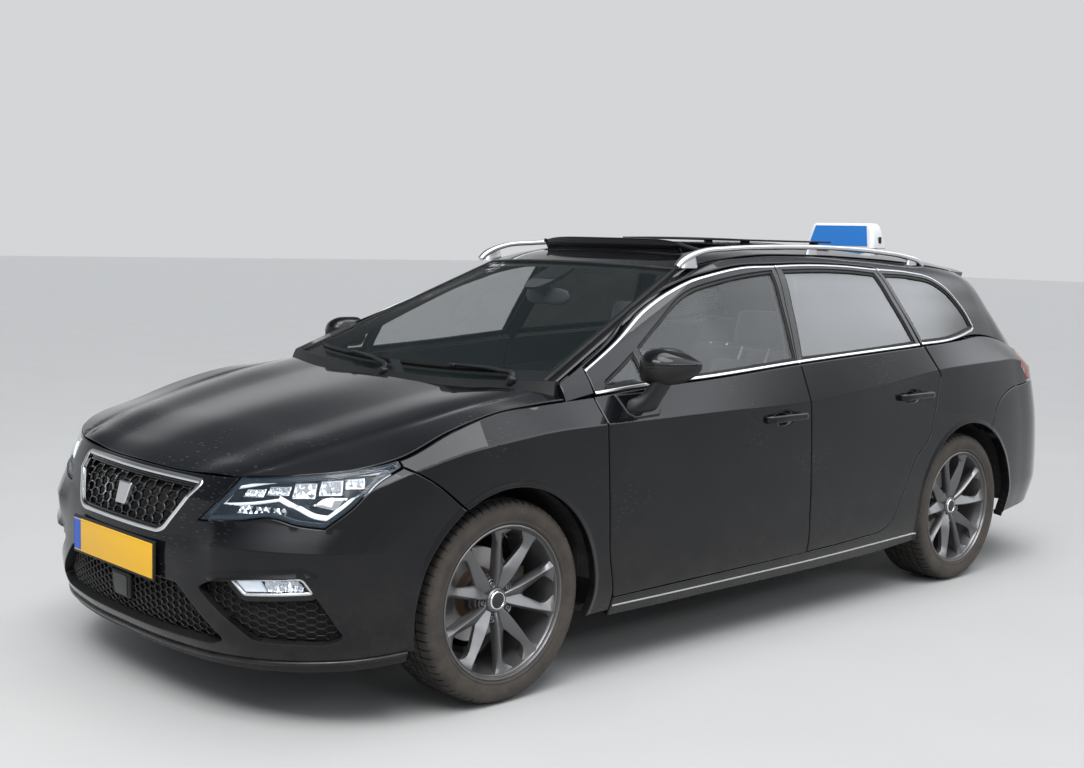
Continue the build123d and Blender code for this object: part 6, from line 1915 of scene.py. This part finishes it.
def puffed(pads):  # every pad is blown up as cloth at once, and moves no further than the limit
    starts = [placesOf(made.data) for made in pads]
    for made in pads:
        cloth = made.modifiers.new("cloth", "CLOTH")
        settings = cloth.settings
        settings.quality, settings.mass, settings.tension_stiffness, settings.compression_stiffness = 4, 0.3, 22, 22
        settings.bending_stiffness, settings.use_pressure, settings.uniform_pressure_force = 1.2, True, padLook["pressure"]
        settings.effector_weights.gravity = 0
        cloth.point_cache.frame_start, cloth.point_cache.frame_end = 1, padLook["frames"]
        cloth.collision_settings.use_collision = cloth.collision_settings.use_self_collision = False
    for frameNumber in range(1, padLook["frames"] + 1):
        bpy.context.scene.frame_set(frameNumber)
    graph = bpy.context.evaluated_depsgraph_get()
    ends = [placesOf(made.evaluated_get(graph).data) for made in pads]
    for made, start, end in zip(pads, starts, ends):
        made.modifiers.clear()
        move = end - start
        far = np.linalg.norm(move, axis=1)
        move *= np.minimum(1, padLook["limit"] * mm / np.maximum(far, 1e-9))[:, None]
        made.data.vertices.foreach_set("co", (start + move).ravel())
        made.data.update()
    bpy.context.scene.frame_set(1)


pads = [padStart(*place) for place in padPlaces]
puffed(pads)
seamParts = []
for made, (name, centre, size, tilt, raised, forward) in zip(pads, padPlaces):
    smooth = made.modifiers.new("smooth", "SMOOTH")
    smooth.factor, smooth.iterations = 0.6, 6
    applied(made)
    made.data.polygons.foreach_set("use_smooth", [True] * len(made.data.polygons))
    (deep, wide, high), lines = size, []
    if wide > 300:
        reach = 0.25 * min(wide, 500)
        for middle in (0,) if wide < 600 else (-345, 0, 345):
            for s in (-1, 1):
                y = middle + s * reach
                if high < 200:
                    lines.append([(deep * f, y + s * 12 * (1 - abs(f) * 2), high * 0.9)
                                  for f in np.linspace(-0.46, 0.46, 26)])
                else:
                    lines.append([(deep * 0.9, y + s * 10 * (1 - abs(f) * 2), high * f)
                                  for f in np.linspace(-0.46, 0.42, 26)])
            for f in (-0.2, 0.12):
                row = np.linspace(middle - reach * 0.97, middle + reach * 0.97, 20)
                lines.append([(deep * f, y, high * 0.9) if high < 200 else (deep * 0.9, y, high * f) for y in row])
    c, s = math.cos(math.radians(tilt)), math.sin(math.radians(tilt))
    for line in lines:
        found = []
        for x, y, z in line:
            spot = Vector((x * c + z * s + centre[0], y + centre[1], -x * s + z * c + centre[2]))
            _, place, normal, _ = made.closest_point_on_mesh(spot * mm)
            found.append(np.array(place) / mm - np.array(normal) * 0.6)
        seamParts.append(sweep("seatSeam", found, roundProfile(4.4, 4.4, 2.1, 2), rubberSeal, (0.3, 0, 1)))
    fit(made, "body", "seat_fabric", "rear_seat" if name.startswith("rear") else "front_seats")
for name, (x, middle, z), *_ in padPlaces:
    if "Headrest" in name:
        apart, back, down = (70, 62, 136) if name.startswith("front") else (50, 26, 84)
        for y in (middle - apart, middle + apart):
            stalk = smoothLine([(x + back, y, z - down), (x + 6, y, z - 30)], 12)
            seamParts.append(sweep("headStalk", stalk, roundProfile(13, 13, 6, 3), chrome, (0, 1, 0)))
for y in (seatY, -seatY):
    for s in (-1, 1):
        seamParts.append(roundedBox("seatRail", (-20, y + s * 185, 246), (470, 26, 34), 6, darkSteel))
        seamParts.append(roundedBox("seatLeg", (-20, y + s * 185, 290), (420, 20, 60), 8, cabinPlastic))
    seamParts += [roundedBox("seatShield", (-60, y + math.copysign(247, y), 340), (430, 24, 96), 11, cabinPlastic),
                  roundedBox("seatPan", (-20, y, 318), (440, 380, 26), 8, cabinPlastic),
                  placed(roundedBox("backShell", (0, 0, 0), (24, 400, 520), 11, cabinPlastic), (-352, y, 640), -20,
                         "Y")]
fit(joined("seatSeamsAndFrames", seamParts), "body", "interior_plastic", "front_seats", "rear_seat")
print("seats made")

# Dashboard, console and column, and the steering wheel on its own body
dashLook = {"hood": 40, "hoodWide": 165, "half": 728, "curve": 92}
dashLine = [(1118, 905), (1060, 915), (980, 920), (880, 922), (800, 918), (758, 902), (742, 880), (736, 850),
            (752, 790), (772, 720), (792, 640),
            (806, 566), (900, 560), (1058, 560), (1064, 700), (1070, 860)]
dashRings = []
for y in np.linspace(-dashLook["half"], dashLook["half"], 97):
    hood = dashLook["hood"] * math.exp(-((y - 365) / dashLook["hoodWide"]) ** 4)
    middle = math.exp(-(y / 150) ** 4)
    share, ring = y / dashLook["half"], []
    for x, z in dashLine:
        top = np.clip((z - 860) / 50, 0, 1) * np.clip((930 - x) / 130, 0, 1)
        back = dashLook["curve"] * share ** 2 * (x > 1000)
        ring.append((x - back + 26 * share ** 4 - 26 * middle * (x < 790), y, z + hood * top + 6 * middle * top))
    dashRings.append(ring)
dashBody = sheet("dashBody", dashRings, [cabinPlastic], closedV=True, caps=True)
dashParts = [sharpen(finishMods(dashBody, 4, limit=40), 50),
             roundedBox("hoodLip", (752, 365, 938), (56, 310, 12), 5, cabinPlastic),
             roundedBox("dialGlass", (764, 365, 890), (10, 262, 80), 4, lampDark)]
for y in (300, 430):
    dial = lathe("dialRing", [(36, -3), (40, -3), (41, 0), (40, 3), (36, 3), (35, 0)], [satinSilver], 40, 40)
    dashParts.append(placed(dial, (757, y, 888), 90))
dashParts += [roundedBox("screenPlate", (708, 0, 852), (16, 220, 128), 7, glossBlack),
              roundedBox("heaterPlate", (722, 0, 728), (16, 210, 74), 6, glossBlack)]
for y in (-52, 0, 52):
    knob = lathe("heaterKnob", [(0.01, 16), (15, 16), (17, 13), (18, 0), (0.01, 0)], [satinSilver], 30, 40)
    dashParts.append(placed(knob, (712, y, 728), 90))
for y, wide in ((-640, 100), (-180, 90), (180, 90), (640, 100)):
    dashParts.append(roundedBox("ventFrame", (742, y, 858), (14, wide, 66), 6, satinSilver))
    dashParts += [roundedBox("ventSlat", (733, y, z), (10, wide - 14, 4), 1.5, rubberSeal, 1)
                  for z in range(836, 881, 11)]
dashParts.append(roundedBox("gloveLine", (760, -420, 712), (10, 430, 4), 1.5, rubberSeal, 1))
consoleRings = []
for x in np.linspace(-160, 800, 49):
    rise = 40 * np.clip((x - 520) / 240, 0, 1) ** 2 + 24 * np.clip((60 - x) / 60, 0, 1) * np.clip((x + 160) / 30, 0.4,
                                                                                                  1)
    half = 98 - 8 * np.clip((60 - x) / 200, 0, 1)
    side = [(x, -half, 232), (x, -half, 470 + rise), (x, -half + 10, 486 + rise), (x, -half + 26, 492 + rise)]
    consoleRings.append(side + reflected(side, part=1))
boot = lathe("gearBoot", [(0.01, 0), (46, 0), (44, 16), (34, 30), (28, 44), (18, 62), (9, 80), (7, 120), (0.01, 120)],
             [cabinPlastic], 30, 40)
brake = smoothLine([(160, 32, 500), (110, 32, 520), (20, 32, 556)], 12)
dashParts += [solid("centreConsole", consoleRings, cabinPlastic), placed(boot, (430, 0, 496), 90, "X"),
              roundedBox("gearKnob", (424, 0, 632), (44, 42, 56), 18, glossBlack),
              sweep("handbrake", brake, roundProfile(26, 24, 11, 3), cabinPlastic, (0, 1, 0))]
tilt = math.radians(25)
wheelFace, wheelUp = np.array([-math.cos(tilt), 0, math.sin(tilt)]), np.array([math.sin(tilt), 0, math.cos(tilt)])
wheelMiddle, sideways = np.array([560, 365, 820.0]), np.array([0, 1.0, 0])
column = [wheelMiddle + wheelFace * d for d in (-80, -120, -180, -262)]
dashParts.append(sweep("columnShroud", column, roundProfile(96, 80, 30, 4), cabinPlastic, (0, 1, 0),
                       [0.8, 1, 1.05, 1.1]))
for s in (-1, 1):
    lever = [wheelMiddle + wheelFace * -96 + sideways * s * d + wheelUp * 14 for d in (30, 90, 150)]
    dashParts.append(sweep("stalk", lever, roundProfile(18, 12, 5, 3), trimBlack, wheelUp, [1, 1, 1.2]))
fit(joined("dashboardAndConsole", dashParts), "body", "interior_plastic", "dashboard")
wheelLeather = plasticFinish("wheelLeather", (0.016, 0.016, 0.017), 0.46, 260, 0.45, 0.08)
angles = np.linspace(0, 2 * math.pi, 96, endpoint=False)
rim = [wheelMiddle + (sideways * math.cos(a) + wheelUp * math.sin(a)) * 182 for a in angles]
grow = [1 + sum(0.1 * math.exp(-((math.degrees(a) - thumb) / 14) ** 2) for thumb in (40, 140)) for a in angles]
wheelParts = [sweep("wheelRim", rim, roundProfile(29, 27, 13.2, 4), wheelLeather, wheelFace, grow, closed=True,
                    angle=60)]
for angle, wide in ((0, 1.0), (180, 1.0), (268, 0.7), (272, 0.7)):
    way = sideways * math.cos(math.radians(angle)) + wheelUp * math.sin(math.radians(angle))
    spoke = [wheelMiddle + way * r + wheelFace * d for r, d in ((48, 0), (90, -8), (130, -10), (176, -4))]
    wheelParts.append(sweep("wheelSpoke", spoke, roundProfile(50 * wide, 14, 5, 3), satinSilver
                            if wide < 1 else cabinPlastic,
                            wheelFace, [1.25, 1.0, 0.75, 0.62]))
for f, grow, material in ((0, 1, cabinPlastic), (4, 0.24, chrome)):
    rings = []
    for d, size in ((-32, 0.9), (-6, 1.0), (6, 0.97), (13, 0.86), (17, 0.6)):
        ring = []
        for a in np.linspace(0, 2 * math.pi, 40, endpoint=False):
            c, s = softRound(a, 0.75, 0.75)
            ring.append(wheelMiddle + sideways * c * 74 * size * grow + wheelUp * (s * 58 * size * grow - 4)
                        + wheelFace * (d + f))
        rings.append(ring)
    wheelParts.append(solid("wheelPad", rings, material, 50))
shaft = [wheelMiddle + wheelFace * d for d in (-30, -120, -270)]
wheelParts.append(sweep("wheelShaft", shaft, roundProfile(34, 34, 16, 4), darkSteel, (0, 1, 0)))
fit(joined("steeringWheelWhole", wheelParts), "steering_wheel", "interior_plastic", "steering_wheel")
print("dashboard and steering wheel made")



# Finishes of the CAD pieces that stay: floor, linings, engine and axles
# metal under the car: patches of rust and dried mud, with gritty bumps
def roadFinish(name, colour, rough, metallic, rustShare):
    it = Finish(name, Metallic=metallic)
    rust = it.between(it.noise(13, 8, 0.7), 0.5, 0.72) * rustShare
    mud = it.between(it.noise(6, 8, 0.68), 0.4, 0.85) * 0.5
    grit = it.cells(420)
    it.set(Base_Color=it.mix(mud, it.mix(rust, colour, (0.11, 0.045, 0.02)), (0.13, 0.11, 0.085)))
    it.set(Roughness=rough + rust * 0.3 + mud * 0.25,
           Normal=it.bump(it.noise(90, 6, 0.65), 0.3, 0.0015, it.bump(grit, 0.2, 0.0008)))
    return it.material


def floorFinish():  # carpet above the floor's top, sealed paint below
    it = Finish("floorCarpetAndSealer", Specular_IOR_Level=0.25)
    above = it.between(it.calc("ABSOLUTE", it.axis("Y")), 0.79, 0.77) * it.between(it.axis("Z"), 0.2065, 0.2085)
    tufts = it.cells(700)
    mud = it.between(it.noise(6, 8, 0.68), 0.4, 0.85) * 0.4
    carpet = it.mix(tufts, (0.012, 0.012, 0.013), (0.035, 0.035, 0.038))
    it.set(Base_Color=it.mix(above, it.mix(mud, (0.016, 0.016, 0.016), (0.12, 0.1, 0.08)), carpet))
    it.set(Roughness=0.92 - it.noise(30) * 0.1, Normal=it.bump(tufts, 0.5, 0.0016))
    return it.material


def castFinish():
    it = Finish("castEngine", Metallic=0.75)
    ribs = it.between(it.calc("SINE", it.axis("Z") * 150), 0.3, 0.9)
    grime = it.between(it.noise(10, 8, 0.7), 0.35, 0.8)
    it.set(Base_Color=it.mix(grime, (0.2, 0.2, 0.205), (0.04, 0.036, 0.03)), Roughness=0.5 + grime * 0.35)
    it.set(Normal=it.bump(ribs, 0.6, 0.004, it.bump(it.noise(160, 5), 0.3, 0.001)))
    return it.material


nodeFinishes = {"floor_pan": floorFinish(), "arch_liners": liningBlack, "engine": castFinish(),
                "front_subframe": roadFinish("subframeSteel", (0.035, 0.035, 0.036), 0.5, 0.5, 0.5),
                "rear_axle": roadFinish("rearAxleSteel", (0.04, 0.04, 0.04), 0.5, 0.5, 0.6),
                "knuckle_left": roadFinish("knuckleIron", (0.11, 0.105, 0.1), 0.55, 0.7, 0.9),
                "exhaust": roadFinish("exhaustSteelDull", (0.22, 0.2, 0.18), 0.42, 0.9, 0.8)}
nodeFinishes["knuckle_right"] = nodeFinishes["knuckle_left"]
for node, material in nodeFinishes.items():
    for entry in frame["nodes"][node].material_slots:
        entry.material = material
print("under parts finished")


# Floor, light and camera
stageLook = {"floor": (0.53, 0.53, 0.526), "floorMarks": (0.48, 0.48, 0.478), "backdrop": (0.66, 0.67, 0.68),
             "ceiling": (2.9, 3.0, 3.15), "wall": (0.16, 0.175, 0.19), "sky": (0.93, 0.98, 1.05), "skyStrength": 0.5,
             "sun": 1.9, "sunAngle": 38, "keyWatts": 130, "sideWatts": 46, "topWatts": 95}
cameraLook = {"place": (4.263, 4.037, 1.433), "turn": (-133.25, -5.88, 1.46), "lens": 47.14}  # yaw, pitch and roll


def aimed(made, place, target):
    made.location = place
    made.rotation_euler = (Vector(target) - Vector(place)).to_track_quat("-Z", "Y").to_euler()


def areaLight(name, place, target, watts, wide, high):
    data = bpy.data.lights.new(name, "AREA")
    data.shape, data.size, data.size_y, data.energy = "RECTANGLE", wide, high, watts
    aimed(added(name, data), place, target)


floorMesh = bpy.data.meshes.new("floor")
floorMesh.from_pydata([(-60, -60, -0.001), (60, -60, -0.001), (60, 60, -0.001), (-60, 60, -0.001)], [], [(0, 1, 2, 3)])
floor = added("floor", floorMesh)
ground = Finish("floorPaint", Specular_IOR_Level=0.2, Roughness=0.6)
marks = ground.between(ground.noise(1.5, 6), 0.35, 0.7) * 0.25
ground.set(Base_Color=ground.mix(marks, stageLook["floor"], stageLook["floorMarks"]))
floorMesh.materials.append(ground.material)

world = bpy.data.worlds.new("studio")
bpy.context.scene.world = world
world.use_nodes = True
sky = Tree(world.node_tree)
heading = sky.node("ShaderNodeSeparateXYZ", Vector=sky.node("ShaderNodeTexCoord").out("Generated"))


def skyPart(low, high, lowColour, highColour, farColour, strength):  # colours near the floor, and high up on each side
    upper = sky.mix(sky.between(heading.out("Y"), -0.35, 0.35), farColour, highColour)
    colour = sky.mix(sky.between(heading.out("Z"), low, high), lowColour, upper)
    return sky.node("ShaderNodeBackground", Color=colour, Strength=strength)


lighting = skyPart(0, 0.5, tuple(part * 0.55 for part in stageLook["sky"]), stageLook["sky"], stageLook["sky"],
                   stageLook["skyStrength"])
seen = skyPart(0.2, 0.44, stageLook["backdrop"], stageLook["ceiling"], stageLook["wall"], 1.0)
ray = sky.node("ShaderNodeLightPath")
direct = sky.calc("MAXIMUM", ray.out("Is Camera Ray"), ray.out("Is Glossy Ray"))
direct = sky.calc("MAXIMUM", direct, ray.out("Is Transmission Ray"))
background = sky.numbered("ShaderNodeMixShader", {}, {0: direct, 1: lighting, 2: seen})
sky.put(world.node_tree.nodes["World Output"].inputs["Surface"], background)

areaLight("keyLight", (5.2, 1.6, 4.6), (0.8, 0, 0.8), stageLook["keyWatts"], 3.2, 1.6)
areaLight("sideLight", (0.2, 6.5, 3.4), (0, 0, 0.9), stageLook["sideWatts"], 7, 0.9)
areaLight("topLight", (-0.4, 0.6, 6.0), (-0.2, 0, 0.8), stageLook["topWatts"], 5.5, 1.6)
sun = bpy.data.lights.new("sunLight", "SUN")
sun.energy, sun.angle = stageLook["sun"], math.radians(stageLook["sunAngle"])
aimed(added("sunLight", sun), (2.5, 3.0, 7.5), (0, 0, 0))

camera = added("camera", bpy.data.cameras.new("camera"))
yaw, pitch, roll = (math.radians(degrees) for degrees in cameraLook["turn"])
look = Vector((math.cos(pitch) * math.cos(yaw), math.cos(pitch) * math.sin(yaw), math.sin(pitch)))
across = Vector((math.sin(yaw), -math.cos(yaw), 0))
upward = across.cross(look)
right = across * math.cos(roll) + upward * math.sin(roll)
upward = upward * math.cos(roll) - across * math.sin(roll)
camera.matrix_world = Matrix([(right[k], upward[k], -look[k], place) for k, place in enumerate(cameraLook["place"])]
                             + [(0, 0, 0, 1)])
camera.data.sensor_width, camera.data.lens = 36, cameraLook["lens"]
camera.data.clip_end = 200
bpy.context.scene.camera = camera
bpy.context.scene.view_settings.view_transform = "Standard"
floor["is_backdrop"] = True
print("stage set")

low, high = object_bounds()
